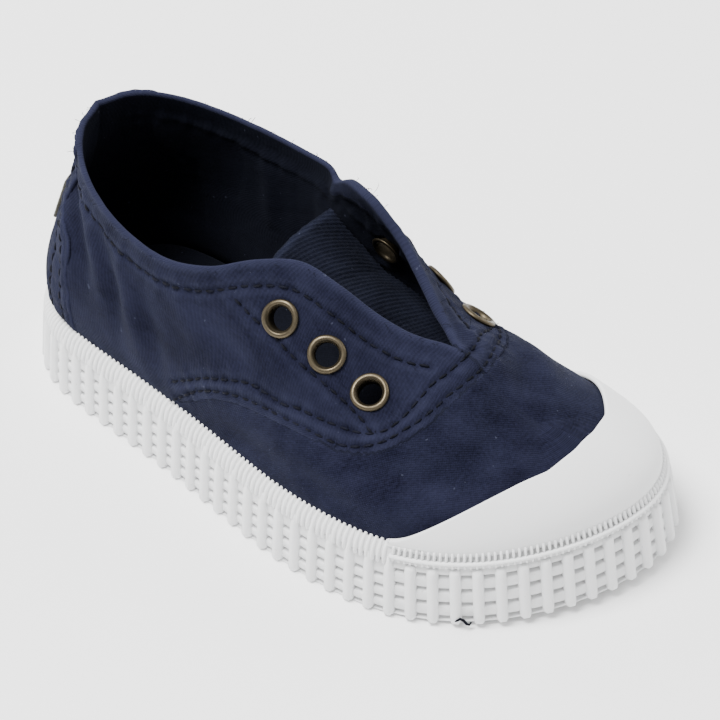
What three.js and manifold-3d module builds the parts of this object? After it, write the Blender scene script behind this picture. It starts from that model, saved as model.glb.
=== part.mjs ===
// Child's slip-on canvas sneaker, right shoe, standing empty on its sole.
// Millimetres, +Z up. The toe points along -Y, the outer (lateral) side faces -X, and the
// origin is on the floor under the middle of the sole.
import * as THREE from 'three';
import { mergeVertices } from 'three/addons/utils/BufferGeometryUtils.js';
import Module from 'manifold-3d';

const wasm = await Module();
wasm.setup();

// ---- driving dimensions ----
const heelTip = { x: 5, y: 86.4 };
const toeTip = { x: 11.8, y: -86.1 };
const gap = 0.3; // between pieces that meet

const wall = { floor: 8, ribTop: 14.6, draft: 1.9, rim: 5.0, ribDepth: 1.3, ribPitch: 5.25, edge: 0.8 };
const foxing = { shoulder: 2.3, top: 3.7, shoulderInset: 3.2, topInset: 4.1 };
const toeSpring = { height: 2.2, start: -30 };
const canvas = 1.7; // shell thickness: outer canvas and lining
const insoleBoard = { thickness: 3.4, dip: 0.8 };
const cap = { thickness: 1.2, behindToe: 18.5, sweep: 0.013, centreX: 7.5, lowest: 0.035 };
const eyelet = { outer: 4.7, bore: 2.9, barrel: 3.15, hole: 3.5, roll: 0.7, flange: 0.6, back: 4.1 };
const goreSheet = { thickness: 1.2, sag: -1.5, up: 0.85, slack: 0.9, from: 0.34, to: 0.555 };
const tag = { thickness: 1.0, halfWidth: 0.042, low: 0.30, high: 0.60, flare: 1.3 };

// Sole outline at the floor, heel to toe: how far the rubber reaches to each side of the axis.
const soleRows = [
  { y: 80, lateral: -13.0, medial: 21.5 },
  { y: 69, lateral: -23.8, medial: 30.0 },
  { y: 54, lateral: -27.6, medial: 31.8 },
  { y: 38, lateral: -29.6, medial: 30.9 },
  { y: 21, lateral: -31.8, medial: 29.9 },
  { y: 4, lateral: -34.8, medial: 31.2 },
  { y: -13, lateral: -37.6, medial: 33.8 },
  { y: -30, lateral: -38.3, medial: 36.7 },
  { y: -46, lateral: -36.4, medial: 38.2 },
  { y: -60, lateral: -30.4, medial: 37.4 },
  { y: -72, lateral: -20.3, medial: 33.8 },
  { y: -82, lateral: -4.9, medial: 25.0 },
];

// Top line of the upper. turn goes from 0 at the toe to 1 at the heel on either side; y and z
// place the top point, lateral and medial are its distances from centre, slope is the angle
// in degrees at which the canvas falls away from it, reach is the length of that curve's
// upper handle, and lean and rise are the same for the lower end at the sole. The medial side
// has its own lean and reach.
const topRows = [
  {
    turn: 0.00, centre: 5.2, y: -58.0, z: 33.6, lateral: 0, medial: 0, slope: 0, rise: 8,
    lean: 10, reach: 8, medialLean: 10, medialReach: 8,
  },
  {
    turn: 0.12, centre: 5.2, y: -58.0, z: 33.6, lateral: 0, medial: 0, slope: 0, rise: 8,
    lean: 10, reach: 8, medialLean: 3, medialReach: 6,
  },
  {
    turn: 0.20, centre: 4.2, y: -51.0, z: 37.4, lateral: 0, medial: 0, slope: 0, rise: 9,
    lean: 10, reach: 9, medialLean: 0, medialReach: 7,
  },
  {
    turn: 0.27, centre: 3.6, y: -44.0, z: 41.4, lateral: 0, medial: 0, slope: 4, rise: 10,
    lean: 9, reach: 11, medialLean: 0, medialReach: 11,
  },
  {
    turn: 0.31, centre: 3.4, y: -38.4, z: 44.2, lateral: 0, medial: 0, slope: 14, rise: 12,
    lean: 8, reach: 13, medialLean: 0, medialReach: 13,
  },
  {
    turn: 0.36, centre: 3.3, y: -30.0, z: 47.2, lateral: 3.4, medial: 3.6, slope: 32, rise: 14,
    lean: 6, reach: 14, medialLean: -2, medialReach: 14,
  },
  {
    turn: 0.41, centre: 3.3, y: -21.0, z: 51.2, lateral: 6.2, medial: 8.2, slope: 44, rise: 16,
    lean: 4, reach: 15, medialLean: -4, medialReach: 14,
  },
  {
    turn: 0.46, centre: 3.3, y: -12.0, z: 57.0, lateral: 8.6, medial: 12.0, slope: 50, rise: 17,
    lean: 2, reach: 16, medialLean: -4, medialReach: 15,
  },
  {
    turn: 0.51, centre: 3.3, y: -3.5, z: 61.2, lateral: 11.2, medial: 14.4, slope: 58, rise: 18,
    lean: 1, reach: 16, medialLean: -3, medialReach: 15,
  },
  {
    turn: 0.56, centre: 3.3, y: 5.5, z: 60.6, lateral: 16, medial: 17.8, slope: 66, rise: 17,
    lean: 1, reach: 14, medialLean: -2, medialReach: 14,
  },
  {
    turn: 0.61, centre: 3.3, y: 15.0, z: 57.4, lateral: 21, medial: 22, slope: 76, rise: 15,
    lean: 2, reach: 12, medialLean: 0, medialReach: 12,
  },
  {
    turn: 0.67, centre: 3.3, y: 26.0, z: 55.6, lateral: 23.3, medial: 24.4, slope: 82, rise: 14,
    lean: 3, reach: 11, medialLean: 2, medialReach: 11,
  },
  {
    turn: 0.74, centre: 3.3, y: 38.0, z: 56.4, lateral: 22.6, medial: 24.2, slope: 84, rise: 14,
    lean: 4, reach: 12, medialLean: 4, medialReach: 12,
  },
  {
    turn: 0.81, centre: 3.3, y: 50.0, z: 59.0, lateral: 19.6, medial: 21.2, slope: 84, rise: 14,
    lean: 7, reach: 14, medialLean: 8, medialReach: 14,
  },
  {
    turn: 0.88, centre: 3.3, y: 59.2, z: 62.6, lateral: 14.8, medial: 15.6, slope: 83, rise: 14,
    lean: 13, reach: 18, medialLean: 14, medialReach: 18,
  },
  {
    turn: 0.95, centre: 3.3, y: 65.4, z: 65.8, lateral: 7.6, medial: 7.8, slope: 82, rise: 14,
    lean: 18, reach: 21, medialLean: 19, medialReach: 21,
  },
  {
    turn: 1.00, centre: 3.3, y: 67.6, z: 67.6, lateral: 0, medial: 0, slope: 82, rise: 14,
    lean: 20, reach: 22, medialLean: 20, medialReach: 22,
  },
];

// Eyelets, front to back: where each stands round the shoe and up the side of it.
const eyeletRows = [
  { side: -1, turn: 0.382, up: 0.68 },
  { side: -1, turn: 0.443, up: 0.72 },
  { side: -1, turn: 0.508, up: 0.735 },
  { side: 1, turn: 0.362, up: 0.60 },
  { side: 1, turn: 0.430, up: 0.58 },
  { side: 1, turn: 0.497, up: 0.60 },
];

const detail = { turns: 32, rise: 8, soleStepsPerRib: 4 };

const paint = {
  rubber: { color: 0xe9eaea, roughness: 0.62, metalness: 0 },
  canvas: { color: 0x1f2543, roughness: 0.92, metalness: 0 },
  elastic: { color: 0x171b33, roughness: 0.95, metalness: 0 },
  insole: { color: 0x15171f, roughness: 0.95, metalness: 0 },
  brass: { color: 0x8d7b5a, roughness: 0.42, metalness: 0.9 },
  label: { color: 0x4a4334, roughness: 0.8, metalness: 0 },
};

// ---- small helpers ----
const radians = THREE.MathUtils.degToRad;

// Smooth value of one column of a table at a place between its rows.
function columnAt(rows, key, column, at) {
  const last = rows.length - 1;
  let i = 0;
  while (i < last - 1 && rows[i + 1][key] < at) i += 1;
  const slopeAt = (k) => {
    const a = rows[Math.max(k - 1, 0)];
    const b = rows[Math.min(k + 1, last)];
    return (b[column] - a[column]) / (b[key] - a[key]);
  };
  const from = rows[i];
  const to = rows[i + 1];
  const span = to[key] - from[key];
  const t = THREE.MathUtils.clamp((at - from[key]) / span, 0, 1);
  const flat = from[column] === to[column];
  const m0 = flat ? 0 : slopeAt(i) * span;
  const m1 = flat ? 0 : slopeAt(i + 1) * span;
  const t2 = t * t;
  const t3 = t2 * t;
  return (2 * t3 - 3 * t2 + 1) * from[column] + (t3 - 2 * t2 + t) * m0
    + (3 * t2 - 2 * t3) * to[column] + (t3 - t2) * m1;
}

// ---- sole outline: a closed cubic B-spline through the rows of the table ----
const outlinePoints = [
  new THREE.Vector2(toeTip.x, toeTip.y),
  ...[...soleRows].reverse().map((row) => new THREE.Vector2(row.lateral, row.y)),
  new THREE.Vector2(heelTip.x, heelTip.y),
  ...soleRows.map((row) => new THREE.Vector2(row.medial, row.y)),
];

function neighbour(list, i) {
  return list[(i + list.length) % list.length];
}

const outlineControls = outlinePoints.map((p, i) => new THREE.Vector2(
  p.x - (neighbour(outlinePoints, i - 1).x - 2 * p.x + neighbour(outlinePoints, i + 1).x) / 6,
  p.y - (neighbour(outlinePoints, i - 1).y - 2 * p.y + neighbour(outlinePoints, i + 1).y) / 6,
));

class SoleOutline extends THREE.Curve {
  constructor() {
    super();
    this.arcLengthDivisions = 1200;
  }

  getPoint(t, target = new THREE.Vector2()) {
    const along = t * outlineControls.length;
    const i = Math.floor(along);
    const f = along - i;
    const weights = [
      (1 - f) ** 3 / 6,
      (3 * f ** 3 - 6 * f ** 2 + 4) / 6,
      (-3 * f ** 3 + 3 * f ** 2 + 3 * f + 1) / 6,
      f ** 3 / 6,
    ];
    target.set(0, 0);
    weights.forEach((w, k) => target.addScaledVector(neighbour(outlineControls, i + k - 1), w));
    return target;
  }
}

const outline = new SoleOutline();
const outlineLength = outline.getLength();

// The share of the outline from the toe tip to the heel tip along the lateral side.
function findHeelShare() {
  let best = 0.5;
  let most = -Infinity;
  for (let u = 0.4; u < 0.6; u += 0.0005) {
    const y = outline.getPointAt(u).y;
    if (y > most) {
      most = y;
      best = u;
    }
  }
  return best;
}
const heelShare = findHeelShare();

// Point of the outline moved inwards by inset, at share u of its length.
function outlineAt(u, inset) {
  const share = ((u % 1) + 1) % 1;
  const p = outline.getPointAt(share);
  const step = 0.002;
  const a = outline.getPointAt((share - step + 1) % 1);
  const b = outline.getPointAt((share + step) % 1);
  const along = b.sub(a).normalize();
  return new THREE.Vector2(p.x + along.y * inset, p.y - along.x * inset);
}

// side is -1 for lateral and 1 for medial; turn goes from 0 at the toe to 1 at the heel.
function shareOf(side, turn) {
  return side < 0 ? turn * heelShare : 1 - turn * (1 - heelShare);
}

function springAt(y) {
  const ahead = Math.max(0, toeSpring.start - y) / (toeSpring.start - toeTip.y);
  return toeSpring.height * ahead ** 2;
}

// ---- the upper's own function ----
const cupInset = wall.rim;
const upperInset = cupInset + gap;
const featherHeight = wall.ribTop + gap + foxing.top;

// The curve of the upper from the sole's edge to its top line, at a place round the shoe.
function profileAt(side, turn) {
  const row = (column) => columnAt(topRows, 'turn', column, turn);
  const foot = outlineAt(shareOf(side, turn), upperInset);
  const inner = outlineAt(shareOf(side, turn), upperInset + 1);
  const outward = foot.clone().sub(inner).normalize();
  const base = new THREE.Vector3(foot.x, foot.y, featherHeight + springAt(foot.y));
  const reachX = side < 0 ? -row('lateral') : row('medial');
  const top = new THREE.Vector3(row('centre') + reachX, row('y'), row('z'));
  const away = new THREE.Vector2(base.x - top.x, base.y - top.y).normalize();
  const slope = radians(row('slope'));
  const lean = radians(row(side < 0 ? 'lean' : 'medialLean'));
  const rise = row('rise');
  const reach = row(side < 0 ? 'reach' : 'medialReach');
  const lowHandle = new THREE.Vector3(
    base.x + outward.x * Math.sin(lean) * rise,
    base.y + outward.y * Math.sin(lean) * rise,
    base.z + Math.cos(lean) * rise,
  );
  const highHandle = new THREE.Vector3(
    top.x + away.x * Math.cos(slope) * reach,
    top.y + away.y * Math.cos(slope) * reach,
    top.z - Math.sin(slope) * reach,
  );
  return new THREE.CubicBezierCurve3(base, lowHandle, highHandle, top);
}

function upperPoint(side, turn, up) {
  return profileAt(side, turn).getPoint(up);
}

// Outward normal of the upper's surface.
function upperNormal(side, turn, up) {
  const step = 0.01;
  const before = upperPoint(side, Math.max(turn - step, 0), up);
  const after = upperPoint(side, Math.min(turn + step, 1), up);
  const low = upperPoint(side, turn, Math.max(up - step, 0));
  const high = upperPoint(side, turn, Math.min(up + step, 1));
  const round = after.sub(before);
  const rise = high.sub(low);
  if (turn < step || turn > 1 - step) round.set(turn < step ? side : -side, 0, 0);
  const normal = side < 0 ? round.cross(rise) : rise.cross(round);
  return normal.negate().normalize();
}

// ---- solids ----
// Closed body between rings of points: each ring has the same number of points, and the last
// ring joins the first.
function ringSolid(rings) {
  const count = rings[0].length;
  const positions = rings.flat().flatMap((p) => [p.x, p.y, p.z]);
  const index = [];
  rings.forEach((ring, r) => {
    const next = (r + 1) % rings.length;
    for (let i = 0; i < count; i += 1) {
      const j = (i + 1) % count;
      const a = r * count + i;
      const b = r * count + j;
      const c = next * count + j;
      const d = next * count + i;
      index.push(a, c, b, a, d, c);
    }
  });
  const geometry = new THREE.BufferGeometry();
  geometry.setAttribute('position', new THREE.Float32BufferAttribute(positions, 3));
  geometry.setIndex(index);
  return geometry;
}

// Closed body of stacked rings with a lid on the first and on the last: each lid is a ladder
// of strips from one side of the ring to the other.
function lidSolid(rings) {
  const geometry = ringSolid(rings);
  const count = rings[0].length;
  const index = Array.from(geometry.index.array).slice(0, (rings.length - 1) * count * 6);
  const offset = (rings.length - 1) * count;
  for (let i = 0; i < count / 2; i += 1) {
    const a = i;
    const b = i + 1;
    const c = count - i - 1;
    const d = (count - i) % count;
    if (c !== b) index.push(a, b, c, offset + a, offset + c, offset + b);
    if (d !== a) index.push(a, c, d, offset + a, offset + d, offset + c);
  }
  geometry.setIndex(index);
  return geometry;
}

// Shell between an open sheet and a copy of it: faces wind with the outer side outwards, and
// offset(k) gives the outer and inner place of vertex k. Free edges are closed by a rim.
function shellSolid(vertices, faces, outerAt, innerAt) {
  const count = vertices.length;
  const positions = [];
  for (let k = 0; k < count; k += 1) positions.push(...outerAt(k).toArray());
  for (let k = 0; k < count; k += 1) positions.push(...innerAt(k).toArray());
  const used = new Set();
  const index = [];
  faces.forEach(([a, b, c]) => {
    index.push(a, b, c, count + a, count + c, count + b);
    [[a, b], [b, c], [c, a]].forEach(([p, q]) => used.add(`${p},${q}`));
  });
  used.forEach((key) => {
    const [p, q] = key.split(',').map(Number);
    if (!used.has(`${q},${p}`)) index.push(q, p, count + p, q, count + p, count + q);
  });
  const geometry = new THREE.BufferGeometry();
  geometry.setAttribute('position', new THREE.Float32BufferAttribute(positions, 3));
  geometry.setIndex(index);
  return geometry;
}

// Sheet made from a grid of points with equal places merged, as vertices and triangles.
function weldGrid(columns) {
  const vertices = [];
  const places = new Map();
  const idOf = (p) => {
    const key = [p.x, p.y, p.z].map((v) => Math.round(v * 1000)).join(',');
    if (!places.has(key)) {
      places.set(key, vertices.length);
      vertices.push(p);
    }
    return places.get(key);
  };
  const ids = columns.map((column) => column.map(idOf));
  const faces = [];
  const addFace = (a, b, c) => {
    if (a !== b && b !== c && a !== c) faces.push([a, b, c]);
  };
  for (let i = 0; i + 1 < ids.length; i += 1) {
    for (let j = 0; j + 1 < ids[i].length; j += 1) {
      addFace(ids[i][j], ids[i + 1][j], ids[i + 1][j + 1]);
      addFace(ids[i][j], ids[i + 1][j + 1], ids[i][j + 1]);
    }
  }
  return { vertices, faces };
}

function vertexNormals({ vertices, faces }) {
  const normals = vertices.map(() => new THREE.Vector3());
  faces.forEach(([a, b, c]) => {
    const ab = vertices[b].clone().sub(vertices[a]);
    const ac = vertices[c].clone().sub(vertices[a]);
    const n = ab.cross(ac);
    [a, b, c].forEach((k) => normals[k].add(n));
  });
  return normals.map((n) => n.normalize());
}

function toManifold(geometry) {
  const plain = new THREE.BufferGeometry();
  plain.setAttribute('position', geometry.getAttribute('position').clone());
  if (geometry.index) plain.setIndex(geometry.index.clone());
  const merged = mergeVertices(plain, 1e-5);
  return new wasm.Manifold(new wasm.Mesh({
    numProp: 3,
    vertProperties: new Float32Array(merged.getAttribute('position').array),
    triVerts: new Uint32Array(merged.index.array),
  }));
}

function fromManifold(solid) {
  const mesh = solid.getMesh();
  const geometry = new THREE.BufferGeometry();
  geometry.setAttribute('position', new THREE.BufferAttribute(mesh.vertProperties, 3));
  geometry.setIndex(new THREE.BufferAttribute(mesh.triVerts, 1));
  return geometry;
}

// ---- rubber ----
function level(count, insetAt, heightAt) {
  return Array.from({ length: count }, (_, i) => {
    const p = outlineAt(i / count, insetAt(i));
    return new THREE.Vector3(p.x, p.y, heightAt(p.y));
  });
}

// Cup sole: ribbed side wall round a floor; ribs stand ribDepth proud and stop at ribTop.
function makeOutsole() {
  const ribs = Math.round(outlineLength / wall.ribPitch);
  const count = ribs * detail.soleStepsPerRib;
  const groove = (i) => (i % detail.soleStepsPerRib < 2 ? 0 : wall.ribDepth);
  const lift = (z) => (y) => z + springAt(y);
  return lidSolid([
    level(count, (i) => groove(i) + wall.edge, lift(0)),
    level(count, (i) => groove(i), lift(wall.edge)),
    level(count, (i) => wall.draft + groove(i) * 0.8, lift(wall.ribTop - 1)),
    level(count, () => wall.draft + wall.ribDepth, lift(wall.ribTop)),
    level(count, () => cupInset, lift(wall.ribTop)),
    level(count, () => cupInset, lift(wall.floor)),
  ]);
}

// Fine-ribbed strip round the top of the wall, over the edge of the canvas.
function makeFoxing() {
  const count = detail.turns * 4;
  const low = wall.ribTop + gap;
  const lift = (z) => (y) => z + springAt(y);
  return ringSolid([
    level(count, () => cupInset, lift(low)),
    level(count, () => wall.draft + 0.4, lift(low)),
    level(count, () => foxing.shoulderInset, lift(low + foxing.shoulder)),
    level(count, () => foxing.topInset, lift(low + foxing.top)),
    level(count, () => cupInset, lift(low + foxing.top)),
  ]);
}

function makeInsole() {
  const count = detail.turns * 2;
  const inset = upperInset + canvas + gap + 0.1;
  const low = wall.floor + gap;
  const high = low + insoleBoard.thickness;
  const lift = (z) => (y) => z + springAt(y);
  return lidSolid([
    level(count, () => inset, lift(low)),
    level(count, () => inset, lift(high - insoleBoard.dip)),
    level(count, () => inset + 1.5, lift(high)),
  ]);
}

// ---- canvas ----
const upperFoot = wall.floor + gap;

function upperColumn(side, turn) {
  const curve = profileAt(side, turn);
  const base = curve.v0;
  const column = [new THREE.Vector3(base.x, base.y, upperFoot + springAt(base.y))];
  column.push(base.clone().setZ(base.z - 2));
  for (let j = 0; j <= detail.rise; j += 1) column.push(curve.getPoint(j / detail.rise));
  return column;
}

// The upper before its holes are cut: one wall from the lasted edge inside the sole to the
// collar and the throat, closed over the forefoot.
function makeUpperShell() {
  const columns = [];
  for (let i = 0; i <= detail.turns; i += 1) columns.push(upperColumn(-1, i / detail.turns));
  for (let i = detail.turns - 1; i >= 0; i -= 1) columns.push(upperColumn(1, i / detail.turns));
  const sheet = weldGrid(columns);
  sheet.faces = sheet.faces.map(([a, b, c]) => [a, c, b]);
  const normals = vertexNormals(sheet);
  const inner = (k) => {
    const p = sheet.vertices[k].clone().addScaledVector(normals[k], -canvas);
    return p;
  };
  return shellSolid(sheet.vertices, sheet.faces, (k) => sheet.vertices[k], inner);
}

function eyeletFrame(row) {
  const place = upperPoint(row.side, row.turn, row.up);
  const normal = upperNormal(row.side, row.turn, row.up);
  const turned = new THREE.Quaternion().setFromUnitVectors(new THREE.Vector3(0, 1, 0), normal);
  return new THREE.Matrix4().compose(place, turned, new THREE.Vector3(1, 1, 1));
}

function makeUpper() {
  let solid = toManifold(makeUpperShell());
  eyeletRows.forEach((row) => {
    const drill = new THREE.CylinderGeometry(eyelet.hole, eyelet.hole, canvas * 5, 16);
    drill.applyMatrix4(eyeletFrame(row));
    solid = solid.subtract(toManifold(drill));
  });
  return fromManifold(solid);
}

// Rolled brass ring with its barrel through the canvas.
function makeEyelet() {
  const front = gap + 0.15;
  const back = -canvas - gap - 0.5;
  const profile = [
    [eyelet.bore, back - eyelet.flange],
    [eyelet.back, back - eyelet.flange],
    [eyelet.back, back],
    [eyelet.barrel, back],
    [eyelet.barrel, front],
    [eyelet.outer, front],
    [eyelet.outer - 0.35, front + eyelet.roll],
    [eyelet.bore + 0.7, front + eyelet.roll * 1.3],
    [eyelet.bore, front + eyelet.roll * 0.5],
    [eyelet.bore, back - eyelet.flange],
  ];
  return new THREE.LatheGeometry(profile.map(([r, h]) => new THREE.Vector2(r, h)), 14);
}

// Piece that lies on the upper: a grid of the upper's own places, from one height to another
// over it.
function makeOverlay(places, outerLift, innerLift) {
  const columns = places.map((column) => column.map(({ side, turn, up }) => {
    const p = upperPoint(side, turn, up);
    p.normal = upperNormal(side, turn, up);
    p.up = up;
    return p;
  }));
  const sheet = weldGrid(columns);
  sheet.faces = sheet.faces.map(([a, b, c]) => [a, c, b]);
  const lifted = (lift) => (k) => {
    const v = sheet.vertices[k];
    return new THREE.Vector3(v.x, v.y, v.z).addScaledVector(v.normal, lift(v));
  };
  return shellSolid(sheet.vertices, sheet.faces, lifted(outerLift), lifted(innerLift));
}

// How far behind the toe cap's edge a point lies; negative on the cap.
function behindCap(p) {
  const across = p.x - cap.centreX;
  return p.y - (toeTip.y + cap.behindToe + cap.sweep * across * across);
}

function capHeight(side, turn) {
  let low = cap.lowest;
  let high = 1;
  if (behindCap(upperPoint(side, turn, low)) > 0) return null;
  for (let k = 0; k < 24; k += 1) {
    const middle = (low + high) / 2;
    if (behindCap(upperPoint(side, turn, middle)) > 0) high = middle;
    else low = middle;
  }
  return high;
}

// How far round the shoe the toe cap reaches on one side.
function capEnd(side) {
  let low = 0;
  let high = 0.5;
  for (let k = 0; k < 24; k += 1) {
    const middle = (low + high) / 2;
    if (behindCap(upperPoint(side, middle, cap.lowest + 0.03)) > 0) high = middle;
    else low = middle;
  }
  return low;
}

function makeToeCap() {
  const rows = 5;
  const steps = 15;
  const column = (side, turn) => {
    const height = capHeight(side, turn);
    return Array.from({ length: rows + 1 }, (_, j) => (
      { side, turn, up: cap.lowest + (height - cap.lowest) * (j / rows) }));
  };
  const places = [];
  for (let i = steps; i > 0; i -= 1) places.push(column(1, capEnd(1) * (i / steps)));
  for (let i = 0; i <= steps; i += 1) places.push(column(-1, capEnd(-1) * (i / steps)));
  return makeOverlay(places, () => gap + cap.thickness, () => gap);
}

function makeHeelTag() {
  const rows = 5;
  const places = [];
  const column = (side, turn) => Array.from({ length: rows + 1 }, (_, j) => (
    { side, turn, up: tag.low + (tag.high - tag.low) * (j / rows) }));
  for (let i = 3; i >= 0; i -= 1) places.push(column(-1, 1 - (tag.halfWidth * i) / 3));
  for (let i = 1; i <= 3; i += 1) places.push(column(1, 1 - (tag.halfWidth * i) / 3));
  const lift = (v) => gap + tag.flare * ((tag.high - v.up) / (tag.high - tag.low)) ** 2;
  return makeOverlay(places, (v) => lift(v) + tag.thickness, lift);
}

// Elastic panel under the open throat, hung between the two sides of the upper.
function makeGore() {
  const across = 10;
  const rows = [];
  for (let i = 0; i <= 8; i += 1) {
    const turn = goreSheet.from + (goreSheet.to - goreSheet.from) * (i / 8);
    const ends = [-1, 1].map((side) => {
      const p = upperPoint(side, turn, goreSheet.up);
      const n = upperNormal(side, turn, goreSheet.up);
      return p.addScaledVector(n, -(canvas + gap + goreSheet.slack));
    });
    rows.push(Array.from({ length: across + 1 }, (_, j) => {
      const t = j / across;
      const p = ends[0].clone().lerp(ends[1], t);
      p.z += goreSheet.sag * Math.sin(Math.PI * t) * (1 - i / 10);
      return p;
    }));
  }
  const sheet = weldGrid(rows);
  const normals = vertexNormals(sheet);
  const moved = (lift) => (k) => sheet.vertices[k].clone().addScaledVector(normals[k], lift);
  return shellSolid(sheet.vertices, sheet.faces, moved(0), moved(-goreSheet.thickness));
}

// ---- assembly ----
const group = new THREE.Group();

function addPart(name, geometry, finish) {
  const mesh = new THREE.Mesh(geometry, new THREE.MeshStandardMaterial(paint[finish]));
  mesh.name = name;
  group.add(mesh);
  return mesh;
}

addPart('outsole', makeOutsole(), 'rubber');
addPart('foxing_strip', makeFoxing(), 'rubber');
addPart('insole', makeInsole(), 'insole');
addPart('upper', makeUpper(), 'canvas');
addPart('toe_cap', makeToeCap(), 'rubber');
addPart('gore', makeGore(), 'elastic');
addPart('heel_tag', makeHeelTag(), 'label');

eyeletRows.forEach((row, i) => {
  const sideName = row.side < 0 ? 'lateral' : 'medial';
  const ring = addPart(`eyelet_${sideName}_${(i % 3) + 1}`, makeEyelet(), 'brass');
  ring.applyMatrix4(eyeletFrame(row));
});

export default group;
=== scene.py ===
import math

import bpy
import numpy as np
from mathutils import Matrix, Vector, noise


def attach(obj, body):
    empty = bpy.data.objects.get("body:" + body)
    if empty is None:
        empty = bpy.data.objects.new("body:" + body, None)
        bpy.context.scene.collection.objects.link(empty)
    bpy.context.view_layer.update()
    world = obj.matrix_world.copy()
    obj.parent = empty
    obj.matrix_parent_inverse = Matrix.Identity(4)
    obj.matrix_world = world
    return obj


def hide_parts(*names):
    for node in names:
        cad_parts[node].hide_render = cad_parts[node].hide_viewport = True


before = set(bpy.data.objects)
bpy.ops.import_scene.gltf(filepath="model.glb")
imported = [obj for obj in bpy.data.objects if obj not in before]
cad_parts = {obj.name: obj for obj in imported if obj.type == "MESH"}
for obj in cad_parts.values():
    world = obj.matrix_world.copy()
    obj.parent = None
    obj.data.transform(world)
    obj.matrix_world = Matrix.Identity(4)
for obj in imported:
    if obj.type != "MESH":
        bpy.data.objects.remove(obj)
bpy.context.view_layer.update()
mm = 0.001

def smooth(x):
    x = np.clip(x, 0, 1)
    return x * x * (3 - 2 * x)


# Sizes of the shoe, in millimetres, as the frame was built. The toe points along -Y.
shoe = {
    "heelTip": (5.0, 86.4), "toeTip": (11.8, -86.1), "gap": 0.3,
    "wallFloor": 8.0, "ribTop": 14.6, "draft": 1.9, "rim": 5.0, "ribPitch": 5.25,
    "stripTop": 3.7, "springHeight": 2.2, "springStart": -30.0, "canvas": 1.7,
}

# y, lateral, medial: how far the rubber reaches to each side, heel to toe.
soleRows = [
    (80, -13.0, 21.5), (69, -23.8, 30.0), (54, -27.6, 31.8), (38, -29.6, 30.9),
    (21, -31.8, 29.9), (4, -34.8, 31.2), (-13, -37.6, 33.8), (-30, -38.3, 36.7),
    (-46, -36.4, 38.2), (-60, -30.4, 37.4), (-72, -20.3, 33.8), (-82, -4.9, 25.0),
]

topColumns = ("turn", "centre", "y", "z", "lateral", "medial", "slope", "reach", "lean", "rise",
              "medialReach", "medialLean")
topRows = [
    (0.00, 5.2, -58.0, 33.6, 0, 0, 0, 8, 10, 8, 8, 10),
    (0.12, 5.2, -58.0, 33.6, 0, 0, 0, 8, 10, 8, 6, 3),
    (0.20, 4.2, -51.0, 37.4, 0, 0, 0, 9, 10, 9, 7, 0),
    (0.27, 3.6, -44.0, 41.4, 0, 0, 4, 11, 9, 10, 11, 0),
    (0.31, 3.4, -38.4, 44.2, 0, 0, 14, 13, 8, 12, 13, 0),
    (0.36, 3.3, -30.0, 47.2, 3.4, 3.6, 32, 14, 6, 14, 14, -2),
    (0.41, 3.3, -21.0, 51.2, 6.2, 8.2, 44, 15, 4, 16, 14, -4),
    (0.46, 3.3, -12.0, 57.0, 8.6, 12.0, 50, 16, 2, 17, 15, -4),
    (0.51, 3.3, -3.5, 61.2, 11.2, 14.4, 58, 16, 1, 18, 15, -3),
    (0.56, 3.3, 5.5, 60.6, 16.0, 17.8, 66, 14, 1, 17, 14, -2),
    (0.61, 3.3, 15.0, 57.4, 21.0, 22.0, 76, 12, 2, 15, 12, 0),
    (0.67, 3.3, 26.0, 55.6, 23.3, 24.4, 82, 11, 3, 14, 11, 2),
    (0.74, 3.3, 38.0, 56.4, 22.6, 24.2, 84, 12, 4, 14, 12, 4),
    (0.81, 3.3, 50.0, 59.0, 19.6, 21.2, 84, 14, 7, 14, 14, 8),
    (0.88, 3.3, 59.2, 62.6, 14.8, 15.6, 83, 18, 13, 14, 18, 14),
    (0.95, 3.3, 65.4, 65.8, 7.6, 7.8, 82, 21, 18, 14, 21, 19),
    (1.00, 3.3, 67.6, 67.6, 0, 0, 82, 22, 20, 14, 22, 20),
]


# Smooth value of one column of the top line at many places between its rows.
def topAt(column, at):
    keys = np.array([row[0] for row in topRows])
    values = np.array([row[topColumns.index(column)] for row in topRows], float)
    at = np.asarray(at, float)
    last = len(keys) - 1
    i = np.clip(np.searchsorted(keys, at, side="left") - 1, 0, last - 1)
    lower = np.maximum(np.arange(last + 1) - 1, 0)
    upper = np.minimum(np.arange(last + 1) + 1, last)
    slopes = (values[upper] - values[lower]) / (keys[upper] - keys[lower])
    span = keys[i + 1] - keys[i]
    t = np.clip((at - keys[i]) / span, 0, 1)
    flat = values[i] == values[i + 1]
    m0 = np.where(flat, 0, slopes[i] * span)
    m1 = np.where(flat, 0, slopes[i + 1] * span)
    return ((2 * t**3 - 3 * t**2 + 1) * values[i] + (t**3 - 2 * t**2 + t) * m0
            + (3 * t**2 - 2 * t**3) * values[i + 1] + (t**3 - t**2) * m1)


def makeOutline(samples=9600):
    points = [shoe["toeTip"]] + [(r[1], r[0]) for r in reversed(soleRows)]
    points += [shoe["heelTip"]] + [(r[2], r[0]) for r in soleRows]
    points = np.array(points, float)
    controls = points - (np.roll(points, 1, 0) - 2 * points + np.roll(points, -1, 0)) / 6
    along = np.arange(samples) / samples * len(points)
    i = along.astype(int)
    f = (along - i)[:, None]
    n = len(points)
    line = (controls[(i - 1) % n] * (1 - f)**3 / 6 + controls[i] * (3 * f**3 - 6 * f**2 + 4) / 6
            + controls[(i + 1) % n] * (-3 * f**3 + 3 * f**2 + 3 * f + 1) / 6
            + controls[(i + 2) % n] * f**3 / 6)
    steps = np.linalg.norm(np.roll(line, -1, 0) - line, axis=1)
    shares = np.concatenate([[0], np.cumsum(steps)])
    return np.vstack([line, line[:1]]), shares / shares[-1], shares[-1]


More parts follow.
